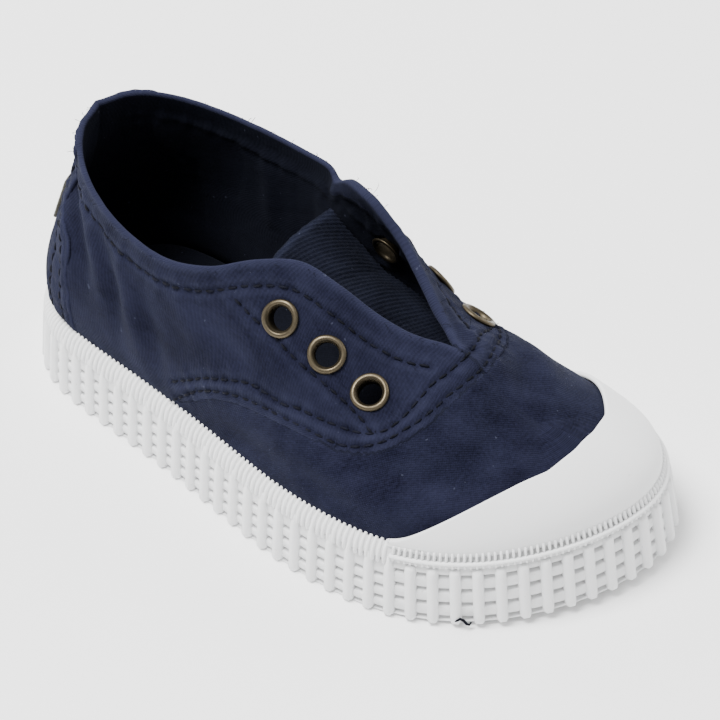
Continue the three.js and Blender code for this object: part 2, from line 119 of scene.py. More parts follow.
outlineLine, outlineShares, outlineLength = makeOutline()
heelShare = float(outlineShares[int(np.argmax(outlineLine[:, 1]))])


def onLine(u):
    u = np.mod(u, 1.0)
    return np.stack([np.interp(u, outlineShares, outlineLine[:, k]) for k in (0, 1)], -1)


# Points of the outline moved inwards by inset, and the outward direction there.
def outlineAt(u, inset):
    u = np.asarray(u, float)
    along = onLine(u + 0.002) - onLine(u - 0.002)
    along /= np.linalg.norm(along, axis=-1, keepdims=True)
    outward = np.stack([-along[..., 1], along[..., 0]], -1)
    return onLine(u) - outward * np.asarray(inset)[..., None], outward


def springAt(y):
    ahead = np.maximum(0, shoe["springStart"] - y) / (shoe["springStart"] - shoe["toeTip"][1])
    return shoe["springHeight"] * ahead**2


featherHeight = shoe["ribTop"] + shoe["gap"] + shoe["stripTop"]
upperInset = shoe["rim"] + shoe["gap"]


def shareOf(side, turn):
    return np.where(side < 0, turn * heelShare, 1 - turn * (1 - heelShare))


# How far the cloth edge stops short of the top line, in millimetres, and where the far side
# of the collar steps down to the eyelet flap.
def rimDrop(side, turn):
    step = np.where(side > 0, 2.9 * np.exp(-((turn - 0.597) / 0.019)**2), 0)
    flap = np.where(side > 0, 1.5 * np.exp(-((turn - 0.45) / 0.065)**2), 0)
    heel = 1.3 * smooth((turn - 0.92) / 0.08)
    return (0.9 + step + flap + heel) * smooth((turn - 0.33) / 0.05)


# The upper's own surface: side is -1 lateral, 1 medial; turn is 0 toe to 1 heel; up is 0 at
# the rubber and 1 at the top line. A negative up goes straight down inside the rubber.
def upperAt(side, turn, up):
    side, turn, up = np.broadcast_arrays(*(np.asarray(v, float) for v in (side, turn, up)))
    foot, outward = outlineAt(shareOf(side, turn), np.full(turn.shape, upperInset))
    base = np.stack([foot[..., 0], foot[..., 1], featherHeight + springAt(foot[..., 1])], -1)
    reachX = np.where(side < 0, -topAt("lateral", turn), topAt("medial", turn))
    top = np.stack([topAt("centre", turn) + reachX, topAt("y", turn), topAt("z", turn)], -1)
    away = base[..., :2] - top[..., :2]
    away /= np.linalg.norm(away, axis=-1, keepdims=True)
    slope, rise = np.radians(topAt("slope", turn)), topAt("rise", turn)
    lean = np.radians(np.where(side < 0, topAt("lean", turn), topAt("medialLean", turn)))
    reach = np.where(side < 0, topAt("reach", turn), topAt("medialReach", turn))
    up = np.where(up > 0, up * (1 - rimDrop(side, turn) / (3 * reach)), up)
    low = base + np.stack([outward[..., 0] * np.sin(lean) * rise,
                           outward[..., 1] * np.sin(lean) * rise, np.cos(lean) * rise], -1)
    high = top + np.stack([away[..., 0] * np.cos(slope) * reach,
                           away[..., 1] * np.cos(slope) * reach, -np.sin(slope) * reach], -1)
    t = np.clip(up, 0, 1)[..., None]
    point = (1 - t)**3 * base + 3 * t * (1 - t)**2 * low + 3 * t**2 * (1 - t) * high + t**3 * top
    below = np.minimum(up, 0) * (featherHeight - shoe["wallFloor"] - shoe["gap"])
    point[..., 2] += below
    return point


def upperNormalAt(side, turn, up):
    side, turn, up = np.broadcast_arrays(*(np.asarray(v, float) for v in (side, turn, up)))
    step = 0.004
    around = upperAt(side, np.minimum(turn + step, 1), up) - upperAt(side, np.maximum(turn - step, 0), up)
    rise = upperAt(side, turn, np.minimum(up + step, 1)) - upperAt(side, turn, np.maximum(up - step, 0))
    edge = (turn < step) | (turn > 1 - step)
    around[edge] = np.stack([np.where(turn < step, side, -side), 0 * side, 0 * side], -1)[edge]
    normal = np.where((side < 0)[..., None], np.cross(rise, around), np.cross(around, rise))
    return normal / np.linalg.norm(normal, axis=-1, keepdims=True)


# Mesh helpers.
def unit(v):
    return v / np.maximum(np.linalg.norm(v, axis=-1, keepdims=True), 1e-9)


# An object from points in millimetres; faceFinish gives the material number of each face.
def makeObject(name, points, faces, finishes=(), faceFinish=None, uv=None, values=None, soft=True):
    mesh = bpy.data.meshes.new(name)
    mesh.from_pydata((np.asarray(points) * mm).tolist(), [], faces)
    for finish in finishes:
        mesh.materials.append(finish)
    if faceFinish is not None:
        mesh.polygons.foreach_set("material_index", np.asarray(faceFinish, dtype=np.int32))
    if soft:
        mesh.polygons.foreach_set("use_smooth", [True] * len(mesh.polygons))
    if uv is not None:
        layer = mesh.uv_layers.new(name="cloth")
        corner = np.zeros(len(mesh.loops), dtype=np.int32)
        mesh.loops.foreach_get("vertex_index", corner)
        layer.data.foreach_set("uv", np.asarray(uv)[corner].astype(np.float32).ravel())
    for key, data in (values or {}).items():
        kind = "FLOAT_VECTOR" if np.ndim(data) == 2 else "FLOAT"
        layer = mesh.attributes.new(key, kind, "POINT")
        layer.data.foreach_set("vector" if kind == "FLOAT_VECTOR" else "value",
                               np.asarray(data, dtype=np.float32).ravel())
    mesh.validate(clean_customdata=False)
    mesh.update()
    item = bpy.data.objects.new(name, mesh)
    bpy.context.scene.collection.objects.link(item)
    return item


# One grid of points with its equal points merged: points, faces, first place of each.
def weld(grid):
    rows, columns = grid.shape[:2]
    flat = np.round(grid.reshape(-1, 3), 3)
    _, first, ids = np.unique(flat, axis=0, return_index=True, return_inverse=True)
    ids = ids.reshape(rows, columns)
    faces = []
    for a, b, c, d in zip(ids[:-1, :-1].ravel(), ids[1:, :-1].ravel(),
                          ids[1:, 1:].ravel(), ids[:-1, 1:].ravel()):
        corners = [int(a)]
        for k in (b, c, d):
            if k != corners[-1] and k != corners[0]:
                corners.append(int(k))
        if len(corners) > 2:
            faces.append(corners)
    return grid.reshape(-1, 3)[first], faces, first


def faceNormals(points, faces):
    normals = np.zeros_like(points)
    corners = np.array([f if len(f) == 4 else [f[0], f[1], f[2], f[2]] for f in faces])
    across = np.cross(points[corners[:, 2]] - points[corners[:, 0]],
                      points[corners[:, 3]] - points[corners[:, 1]])
    for k in range(4):
        np.add.at(normals, corners[:, k], across)
    return unit(normals)


# Normals that point away from centre, and the faces turned to match.
def facingOut(points, faces, centre):
    normals = faceNormals(points, faces)
    if np.sum(normals * (points - centre)) < 0:
        return -normals, [list(reversed(f)) for f in faces]
    return normals, faces


# Length along one direction of a grid, from 0 at its first row.
def lengthAlong(grid, axis):
    steps = np.cumsum(np.linalg.norm(np.diff(grid, axis=axis), axis=2), axis=axis)
    return np.concatenate([np.zeros_like(steps.take([0], axis)), steps], axis)


# Faces of a closed tube of rows rings with count points each, and its two ends.
def tubeFaces(rows, count):
    faces = [[r * count + i, r * count + (i + 1) % count,
              (r + 1) * count + (i + 1) % count, (r + 1) * count + i]
             for r in range(rows - 1) for i in range(count)]
    return faces + [list(range(count))[::-1], [(rows - 1) * count + i for i in range(count)]]


# Joins an outer sheet to an inner copy. crown holds the way out of each free edge, and its
# length is how far the rounded edge stands out there.
def shell(outer, inner, faces, crown=None, steps=4):
    count = len(outer)
    edges = {}
    for f in faces:
        for k in range(len(f)):
            edges[(f[k], f[(k + 1) % len(f)])] = True
    free = [e for e in edges if (e[1], e[0]) not in edges]
    points = [outer, inner]
    allFaces = [list(f) for f in faces] + [[v + count for v in reversed(f)] for f in faces]
    kinds = [0] * len(faces) + [1] * len(faces)
    made = {}
    total = 2 * count

    def ladder(v):
        nonlocal total
        if v in made:
            return made[v]
        if crown is None or np.linalg.norm(crown[v]) < 1e-6:
            made[v] = [v, v + count]
            return made[v]
        middle, half = (outer[v] + inner[v]) / 2, (outer[v] - inner[v]) / 2
        extra = []
        for s in range(1, steps):
            angle = math.pi * s / steps
            extra.append(middle + half * math.cos(angle) + crown[v] * math.sin(angle))
        points.append(np.array(extra))
        made[v] = [v] + list(range(total, total + steps - 1)) + [v + count]
        total += steps - 1
        return made[v]

    for a, b in free:
        one, two = ladder(b), ladder(a)
        if len(one) == len(two):
            for k in range(len(one) - 1):
                allFaces.append([one[k], two[k], two[k + 1], one[k + 1]])
                kinds.append(2)
        else:
            allFaces.append(one[:1] + two + one[:0:-1])
            kinds.append(2)
    return np.vstack(points), allFaces, kinds


# Rings of points stacked into a tube; lids close the first and the last ring.
def stack(rings, lids=False, around=True):
    count = len(rings[0])
    points = np.vstack(rings)
    faces = []
    loops = len(rings) if around else len(rings) - 1
    for r in range(loops):
        n = (r + 1) % len(rings)
        for i in range(count):
            j = (i + 1) % count
            faces.append([r * count + i, n * count + i, n * count + j, r * count + j])
    if lids:
        last = (len(rings) - 1) * count
        for i in range(count // 2):
            a, b, c, d = i, i + 1, count - i - 1, (count - i) % count
            quad = [a, b] + ([c] if c != b else []) + ([d] if d != a else [])
            if len(quad) > 2:
                faces.append(quad)
                faces.append([last + k for k in reversed(quad)])
    return points, faces


# One ring of the sole's outline, moved inwards by inset, at height z.
def soleRing(u, inset, z):
    flat, _ = outlineAt(u, np.broadcast_to(inset, u.shape))
    return np.column_stack([flat, z + springAt(flat[:, 1])])


# Nearest distance from many points to a line of points.
def distanceTo(points, line):
    best = np.full(len(points), 1e9)
    where = np.zeros(len(points), dtype=int)
    for start in range(0, len(line), 64):
        part = line[start:start + 64]
        gaps = np.linalg.norm(points[:, None, :] - part[None], axis=2)
        near = np.argmin(gaps, axis=1)
        value = gaps[np.arange(len(points)), near]
        better = value < best
        best[better] = value[better]
        where[better] = near[better] + start
    return best, where


# A smooth line on the upper through rows of (turn, up), with points every step millimetres.
def seamLine(side, rows, step):
    rows = np.array(rows, float)
    t = np.linspace(0, len(rows) - 1, 400)
    i = np.clip(t.astype(int), 0, len(rows) - 2)
    f = (t - i)[:, None]
    before, after = rows[np.maximum(i - 1, 0)], rows[np.minimum(i + 2, len(rows) - 1)]
    path = 0.5 * (2 * rows[i] + (rows[i + 1] - before) * f
                  + (2 * before - 5 * rows[i] + 4 * rows[i + 1] - after) * f**2
                  + (3 * rows[i] - before - 3 * rows[i + 1] + after) * f**3)
    points = upperAt(side, path[:, 0], path[:, 1])
    length = np.concatenate([[0], np.cumsum(np.linalg.norm(np.diff(points, axis=0), axis=1))])
    at = np.arange(step / 2, length[-1], step)
    turns, ups = np.interp(at, length, path[:, 0]), np.interp(at, length, path[:, 1])
    return turns, ups, upperAt(side, turns, ups)


# Geometry Nodes: one pattern piece set along rows of points.
def makeRepeatTree():
    tree = bpy.data.node_groups.new("setAlongRow", "GeometryNodeTree")
    face = tree.interface
    face.new_socket("Geometry", in_out="INPUT", socket_type="NodeSocketGeometry")
    face.new_socket("Pattern", in_out="INPUT", socket_type="NodeSocketObject")
    face.new_socket("Finish", in_out="INPUT", socket_type="NodeSocketMaterial")
    size = face.new_socket("Size", in_out="INPUT", socket_type="NodeSocketVector")
    size.default_value = (1, 1, 1)
    spread = face.new_socket("Spread", in_out="INPUT", socket_type="NodeSocketFloat")
    spread.default_value = 0.0
    face.new_socket("Geometry", in_out="OUTPUT", socket_type="NodeSocketGeometry")
    nodes, links = tree.nodes, tree.links
    entry, leave = nodes.new("NodeGroupInput"), nodes.new("NodeGroupOutput")
    pattern = nodes.new("GeometryNodeObjectInfo")
    along, out = (nodes.new("GeometryNodeInputNamedAttribute") for _ in range(2))
    for node, name in ((along, "along"), (out, "out")):
        node.data_type = "FLOAT_VECTOR"
        node.inputs["Name"].default_value = name
    axes = nodes.new("FunctionNodeAxesToRotation")
    axes.primary_axis, axes.secondary_axis = "Z", "X"
    turn = nodes.new("FunctionNodeRandomValue")
    turn.data_type = "FLOAT_VECTOR"
    turn.inputs["Seed"].default_value = 7
    less = nodes.new("ShaderNodeMath")
    less.operation = "MULTIPLY"
    less.inputs[1].default_value = -1.0
    wobble = nodes.new("FunctionNodeRotateRotation")
    wobble.rotation_space = "LOCAL"
    place = nodes.new("GeometryNodeInstanceOnPoints")
    real = nodes.new("GeometryNodeRealizeInstances")
    paint = nodes.new("GeometryNodeSetMaterial")
    links.new(entry.outputs["Geometry"], place.inputs["Points"])
    links.new(entry.outputs["Pattern"], pattern.inputs["Object"])
    links.new(pattern.outputs["Geometry"], place.inputs["Instance"])
    links.new(out.outputs["Attribute"], axes.inputs["Primary Axis"])
    links.new(along.outputs["Attribute"], axes.inputs["Secondary Axis"])
    links.new(entry.outputs["Spread"], less.inputs[0])
    links.new(less.outputs[0], turn.inputs["Min"])
    links.new(entry.outputs["Spread"], turn.inputs["Max"])
    links.new(axes.outputs["Rotation"], wobble.inputs["Rotation"])
    links.new(turn.outputs["Value"], wobble.inputs["Rotate By"])
    links.new(wobble.outputs["Rotation"], place.inputs["Rotation"])
    links.new(entry.outputs["Size"], place.inputs["Scale"])
    links.new(place.outputs["Instances"], real.inputs["Geometry"])
    links.new(real.outputs["Geometry"], paint.inputs["Geometry"])
    links.new(entry.outputs["Finish"], paint.inputs["Material"])
    links.new(paint.outputs["Geometry"], leave.inputs["Geometry"])
    return tree


repeatTree = makeRepeatTree()


# Sets the pattern along the points and returns the result as a plain mesh object.
def setAlong(name, points, along, out, pattern, finish, size=(1, 1, 1), spread=0.0):
    rows = makeObject(name + "_rows", points, [], values={"along": along, "out": out}, soft=False)
    settings = {"Pattern": pattern, "Finish": finish, "Size": size, "Spread": spread}
    modifier = rows.modifiers.new("repeat", "NODES")
    modifier.node_group = repeatTree
    for socket in repeatTree.interface.items_tree:
        if socket.in_out == "INPUT" and socket.name in settings:
            modifier[socket.identifier] = settings[socket.name]
    bpy.context.view_layer.update()
    graph = bpy.context.evaluated_depsgraph_get()
    mesh = bpy.data.meshes.new_from_object(rows.evaluated_get(graph))
    mesh.name = name
    mesh.polygons.foreach_set("use_smooth", [True] * len(mesh.polygons))
    item = bpy.data.objects.new(name, mesh)
    bpy.context.scene.collection.objects.link(item)
    bpy.data.objects.remove(rows)
    bpy.data.objects.remove(pattern)
    return item


def addTo(piece, *others):
    bpy.ops.object.select_all(action="DESELECT")
    for other in others:
        other.select_set(True)
    piece.select_set(True)
    bpy.context.view_layer.objects.active = piece
    bpy.ops.object.join()
    return piece


def report(piece):
    print("made", piece.name, sum(len(p.vertices) - 2 for p in piece.data.polygons), "triangles")


def finishPiece(piece, slot, *nodes):
    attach(piece, "root")
    if nodes:
        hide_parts(*nodes)
    report(piece)


# Shader node groups.
def newGroup(name, ins, outs):
    group = bpy.data.node_groups.new(name, "ShaderNodeTree")
    for key, kind, value in ins:
        socket = group.interface.new_socket(key, in_out="INPUT", socket_type=kind)
        if value is not None:
            socket.default_value = value
    for key, kind in outs:
        group.interface.new_socket(key, in_out="OUTPUT", socket_type=kind)
    return group, group.nodes.new("NodeGroupInput"), group.nodes.new("NodeGroupOutput")


class Wiring:
    def __init__(self, tree):
        self.tree = tree

    def node(self, kind, **settings):
        item = self.tree.nodes.new(kind)
        for key, value in settings.items():
            setattr(item, key, value)
        return item

    def join(self, source, target):
        self.tree.links.new(source, target)

    def maths(self, operation, a, b=None):
        item = self.node("ShaderNodeMath", operation=operation)
        for slot, value in enumerate((a, b)):
            if value is None:
                continue
            if isinstance(value, (int, float)):
                item.inputs[slot].default_value = value
            else:
                self.join(value, item.inputs[slot])
        return item.outputs[0]

    def noise(self, vector, scale, detail=2.0, roughness=0.5):
        item = self.node("ShaderNodeTexNoise")
        item.inputs["Scale"].default_value = scale
        item.inputs["Detail"].default_value = detail
        item.inputs["Roughness"].default_value = roughness
        self.join(vector, item.inputs["Vector"])
        return item.outputs["Fac"]

    def ramp(self, value, low, high, toLow=0.0, toHigh=1.0):
        item = self.node("ShaderNodeMapRange", clamp=True)
        item.inputs["From Min"].default_value = low
        item.inputs["From Max"].default_value = high
        item.inputs["To Min"].default_value = toLow
        item.inputs["To Max"].default_value = toHigh
        self.join(value, item.inputs["Value"])
        return item.outputs["Result"]

    def mix(self, amount, a, b, blend="MIX"):
        item = self.node("ShaderNodeMix", data_type="RGBA", blend_type=blend)
        for slot, value in ((0, amount), (6, a), (7, b)):
            if isinstance(value, (int, float, tuple)):
                item.inputs[slot].default_value = value
            else:
                self.join(value, item.inputs[slot])
        return item.outputs[2]


# Woven cloth: slanting twill ridges crossed by finer threads, on a map in millimetres.
def makeWeaveGroup():
    group, entry, leave = newGroup(
        "clothWeave",
        [("Map", "NodeSocketVector", None), ("Pitch", "NodeSocketFloat", 0.8),
         ("Slub", "NodeSocketFloat", 0.3)],
        [("Height", "NodeSocketFloat"), ("Thread", "NodeSocketFloat"), ("Cloud", "NodeSocketFloat")])
    w = Wiring(group)
    parts = w.node("ShaderNodeSeparateXYZ")
    w.join(entry.outputs["Map"], parts.inputs[0])
    wander = w.noise(entry.outputs["Map"], 0.35, 2.0)
    u = w.maths("ADD", parts.outputs[0], w.maths("MULTIPLY", wander, 0.6))
    v = parts.outputs[1]
    turnBy = 2 * math.pi
    slant = w.maths("DIVIDE", w.maths("ADD", u, v), entry.outputs["Pitch"])
    ridge = w.maths("SINE", w.maths("MULTIPLY", slant, turnBy))
    cross = w.maths("DIVIDE", w.maths("SUBTRACT", u, v), entry.outputs["Pitch"])
    thread = w.maths("SINE", w.maths("MULTIPLY", cross, turnBy * 1.6))
    slub = w.noise(entry.outputs["Map"], 1.5, 4.0, 0.7)
    height = w.maths("ADD", w.maths("MULTIPLY", ridge, 0.15), w.maths("MULTIPLY", thread, 0.11))
    height = w.maths("ADD", height, w.maths("MULTIPLY", slub, entry.outputs["Slub"]))
    w.join(w.maths("ADD", height, 0.4), leave.inputs["Height"])
    w.join(w.maths("ADD", w.maths("MULTIPLY", w.maths("ADD", ridge, thread), 0.05), slub),
           leave.inputs["Thread"])
    w.join(w.noise(entry.outputs["Map"], 0.09, 4.0, 0.6), leave.inputs["Cloud"])
    return group


# Dust and painted shade: a soft patchy mask that darkens where the surface is recessed, standing for grime
# and for the shade that falls in the hollows.
def makeDustGroup():
    group, entry, leave = newGroup(
        "dustAndRecessShade",
        [("Place", "NodeSocketVector", None), ("Recess", "NodeSocketFloat", 0.0),
         ("Spots", "NodeSocketFloat", 0.02)],
        [("Mask", "NodeSocketFloat"), ("Speck", "NodeSocketFloat"), ("Grain", "NodeSocketFloat")])
    w = Wiring(group)
    patch = w.ramp(w.noise(entry.outputs["Place"], 55.0, 3.0), 0.35, 0.75)
    # Mask: painted shade together with grime, scaled by Recess
    mask = w.maths("MULTIPLY", entry.outputs["Recess"],
                   w.maths("ADD", w.maths("MULTIPLY", patch, 0.6), 0.4))
    w.join(mask, leave.inputs["Mask"])
    fine = w.noise(entry.outputs["Place"], 700.0, 1.0)
    limit = w.maths("SUBTRACT", 0.78, entry.outputs["Spots"])
    w.join(w.maths("GREATER_THAN", fine, limit), leave.inputs["Speck"])
    w.join(w.noise(entry.outputs["Place"], 2600.0, 2.0), leave.inputs["Grain"])
    return group


weaveGroup = makeWeaveGroup()
dustAndShadeGroup = makeDustGroup()


def startMaterial(name, **sockets):
    material = bpy.data.materials.new(name)
    material.use_nodes = True
    w = Wiring(material.node_tree)
    shader = material.node_tree.nodes["Principled BSDF"]
    for key, value in sockets.items():
        shader.inputs[key.replace("_", " ")].default_value = value
    return material, w, shader


def addBump(w, shader, height, distance, strength=1.0, normal=None):
    bump = w.node("ShaderNodeBump")
    bump.inputs["Strength"].default_value = strength
    bump.inputs["Distance"].default_value = distance
    w.join(height, bump.inputs["Height"])
    if normal is not None:
        w.join(normal, bump.inputs["Normal"])
    w.join(bump.outputs["Normal"], shader.inputs["Normal"])
    return bump.outputs["Normal"]


def attributeOf(w, name):
    return w.node("ShaderNodeAttribute", attribute_name=name).outputs["Fac"]


# Cloth with its weave from the piece's own map. deep and lit are a shaded and a lit copy of the cloth's
# colour:
# painted shade in the threads' gaps and painted light on their tops, with the slub noise as the yarn's own
# uneven tone; worn is where the edge attribute says that it has faded.
def clothMaterial(name, deep, lit, worn, pitch, bumpDepth, slub=0.3, sheen=0.25, wornAmount=0.6):
    material, w, shader = startMaterial(name, Roughness=0.92)
    shader.inputs["Sheen Weight"].default_value = sheen
    shader.inputs["Sheen Roughness"].default_value = 0.55
    shader.inputs["Sheen Tint"].default_value = (0.55, 0.62, 0.85, 1)
    shader.inputs["Specular IOR Level"].default_value = 0.04
    uv = w.node("ShaderNodeUVMap", uv_map="cloth").outputs[0]
    weave = w.node("ShaderNodeGroup", node_tree=weaveGroup)
    weave.inputs["Pitch"].default_value = pitch
    weave.inputs["Slub"].default_value = slub
    w.join(uv, weave.inputs["Map"])
    # tone paints shade in the weave's gaps and light on the thread tops; its slub part is the yarn's own
    # uneven tone
    tone = w.ramp(weave.outputs["Thread"], 0.30, 0.72)
    colour = w.mix(tone, deep, lit)
    cloud = w.ramp(weave.outputs["Cloud"], 0.35, 0.7, 0.0, 0.35)
    colour = w.mix(cloud, colour, worn)
    edge = w.maths("MULTIPLY", attributeOf(w, "worn"), wornAmount)
    colour = w.mix(edge, colour, worn)
    place = w.node("ShaderNodeTexCoord").outputs["Object"]
    dustAndShade = w.node("ShaderNodeGroup", node_tree=dustAndShadeGroup)
    dustAndShade.inputs["Spots"].default_value = 0.0
    w.join(place, dustAndShade.inputs["Place"])
    speck = w.maths("MULTIPLY", dustAndShade.outputs["Speck"], 0.35)
    colour = w.mix(speck, colour, (0.06, 0.066, 0.10, 1))
    w.join(colour, shader.inputs["Base Color"])
    addBump(w, shader, weave.outputs["Height"], bumpDepth)
    return material


# Rubber: grime is a darker tone used both for real grime and for the painted shade in the recesses.
def rubberMaterial(name, clean, grimeAndShade, roughness, grain):
    material, w, shader = startMaterial(name, Roughness=roughness)
    shader.inputs["Specular IOR Level"].default_value = 0.35
    shader.inputs["Subsurface Weight"].default_value = 0.06
    shader.inputs["Subsurface Radius"].default_value = (0.002, 0.002, 0.002)
    place = w.node("ShaderNodeTexCoord").outputs["Object"]
    dustAndShade = w.node("ShaderNodeGroup", node_tree=dustAndShadeGroup)
    dustAndShade.inputs["Spots"].default_value = -0.02
    w.join(place, dustAndShade.inputs["Place"])
    w.join(attributeOf(w, "recess"), dustAndShade.inputs["Recess"])
    cloud = w.ramp(w.noise(place, 30.0, 3.0), 0.3, 0.8, 0.0, 0.07)
    colour = w.mix(cloud, clean, grimeAndShade)
    # painted shade with grime: the recess mask darkens the rubber in the slits, gaps and hollows
    colour = w.mix(w.maths("MULTIPLY", dustAndShade.outputs["Mask"], 0.85), colour, grimeAndShade)
    colour = w.mix(w.maths("MULTIPLY", dustAndShade.outputs["Speck"], 0.25), colour, (0.35, 0.34, 0.33, 1))
    w.join(colour, shader.inputs["Base Color"])
    addBump(w, shader, dustAndShade.outputs["Grain"], grain)
    return material


# the first two colours of each cloth are its painted-shade and painted-light copies for the weave
navyCanvas = clothMaterial("navy_canvas", (0.0019, 0.0020, 0.0054, 1), (0.0086, 0.0092, 0.0222, 1),
                           (0.024, 0.026, 0.052, 1), 0.78, 0.00017, slub=0.6, sheen=0.03)
liningCloth = clothMaterial("lining_cloth", (0.0012, 0.0014, 0.003, 1), (0.0035, 0.004, 0.008, 1),
                            (0.006, 0.007, 0.012, 1), 0.9, 0.0001, sheen=0.02)
elasticCloth = clothMaterial("ribbed_elastic", (0.0010, 0.0012, 0.003, 1), (0.0034, 0.0039, 0.0088, 1),
                             (0.013, 0.015, 0.029, 1), 0.7, 0.0002, slub=0.9, sheen=0.02)
insoleCloth = clothMaterial("insole_cloth", (0.0015, 0.0018, 0.003, 1), (0.004, 0.0045, 0.008, 1),
                            (0.008, 0.009, 0.014, 1), 0.9, 0.00012, sheen=0.02)
tagCloth = clothMaterial("tag_cloth", (0.030, 0.028, 0.020, 1), (0.085, 0.080, 0.058, 1),
                         (0.15, 0.145, 0.12, 1), 0.5, 0.00012, sheen=0.1)
# the second colour of each rubber is its grime and painted-shade tone
whiteRubber = rubberMaterial("white_rubber", (0.80, 0.805, 0.81, 1), (0.40, 0.40, 0.395, 1), 0.55,
                             0.00002)
capRubber = rubberMaterial("cap_rubber", (0.80, 0.805, 0.81, 1), (0.60, 0.60, 0.595, 1), 0.42,
                           0.00001)


def threadMaterial():
    material, w, shader = startMaterial("navy_thread", Roughness=0.75)
    shader.inputs["Specular IOR Level"].default_value = 0.12
    place = w.node("ShaderNodeTexCoord").outputs["Object"]
    tone = w.ramp(w.noise(place, 900.0, 2.0), 0.3, 0.7)
    w.join(w.mix(tone, (0.0008, 0.0010, 0.0028, 1), (0.0032, 0.0038, 0.0105, 1)), shader.inputs["Base Color"])
    addBump(w, shader, w.noise(place, 4000.0, 1.0), 0.00008)
    return material


def brassMaterial():
    material, w, shader = startMaterial("antique_brass", Metallic=0.85, Roughness=0.42)
    place = w.node("ShaderNodeTexCoord").outputs["Object"]
    patina = w.ramp(w.noise(place, 420.0, 4.0, 0.6), 0.35, 0.7)
    colour = w.mix(patina, (0.040, 0.031, 0.018, 1), (0.017, 0.014, 0.009, 1))
    # the worn attribute lightens the brass: rubbed wear, and on the eyelet rims also a painted highlight
    colour = w.mix(attributeOf(w, "worn"), colour, (0.17, 0.138, 0.088, 1))
    w.join(colour, shader.inputs["Base Color"])
    w.join(w.ramp(patina, 0, 1, 0.34, 0.55), shader.inputs["Roughness"])
    addBump(w, shader, w.noise(place, 1500.0, 3.0), 0.00003)
    return material


navyThread = threadMaterial()
antiqueBrass = brassMaterial()
print("materials ready")

# Seams of the upper, as (turn, up) rows; turn runs 0 toe to 1 heel, up runs 0 to 1.
upperSizes = {
    "columns": 280, "rows": 78, "panelRise": 0.5, "counterRise": 0.4, "facingRise": 0.3,
    "facingWidth": 6.2, "looseness": 0.34, "pucker": 0.15, "holeRadius": 3.25,
}
panelEdge = [(0.645, -0.02), (0.608, 0.07), (0.58, 0.175), (0.545, 0.25), (0.492, 0.30),
             (0.438, 0.35), (0.383, 0.38), (0.355, 0.425), (0.335, 0.47), (0.318, 0.54),
             (0.300, 0.64), (0.290, 0.755), (0.275, 0.90), (0.268, 1.0)]
lowerRow = [(0.628, 0.02), (0.612, 0.10), (0.588, 0.20), (0.55, 0.28), (0.495, 0.33),
            (0.442, 0.375), (0.39, 0.405), (0.362, 0.45), (0.343, 0.50), (0.327, 0.57),
            (0.309, 0.67), (0.298, 0.77), (0.284, 0.90), (0.277, 0.995)]
vampRow = [(0.628, 0.16), (0.585, 0.29), (0.55, 0.35), (0.52, 0.39), (0.497, 0.40),
           (0.47, 0.41), (0.448, 0.44), (0.408, 0.47), (0.372, 0.50), (0.355, 0.525),
           (0.34, 0.58), (0.33, 0.68), (0.323, 0.79), (0.312, 0.88), (0.306, 0.95), (0.304, 0.995)]
eyeletRow = [(0.572, 0.80), (0.556, 0.74), (0.53, 0.68), (0.485, 0.625), (0.443, 0.61),
             (0.41, 0.595), (0.378, 0.56), (0.362, 0.525)]
counterRows = {
    "inner": [(0.93, 0.99), (0.93, 0.80), (0.915, 0.66), (0.875, 0.60), (0.845, 0.53),
              (0.838, 0.44), (0.828, 0.34), (0.818, 0.21), (0.81, 0.02)],
    "outer": [(0.95, 0.99), (0.945, 0.70), (0.92, 0.55), (0.893, 0.52), (0.873, 0.47),
              (0.863, 0.375), (0.855, 0.28), (0.847, 0.17), (0.84, 0.02)],
}
counterEdge = [(0.905, 1.0), (0.905, 0.80), (0.892, 0.68), (0.855, 0.62), (0.828, 0.54),
               (0.82, 0.44), (0.81, 0.34), (0.80, 0.21), (0.792, -0.02)]

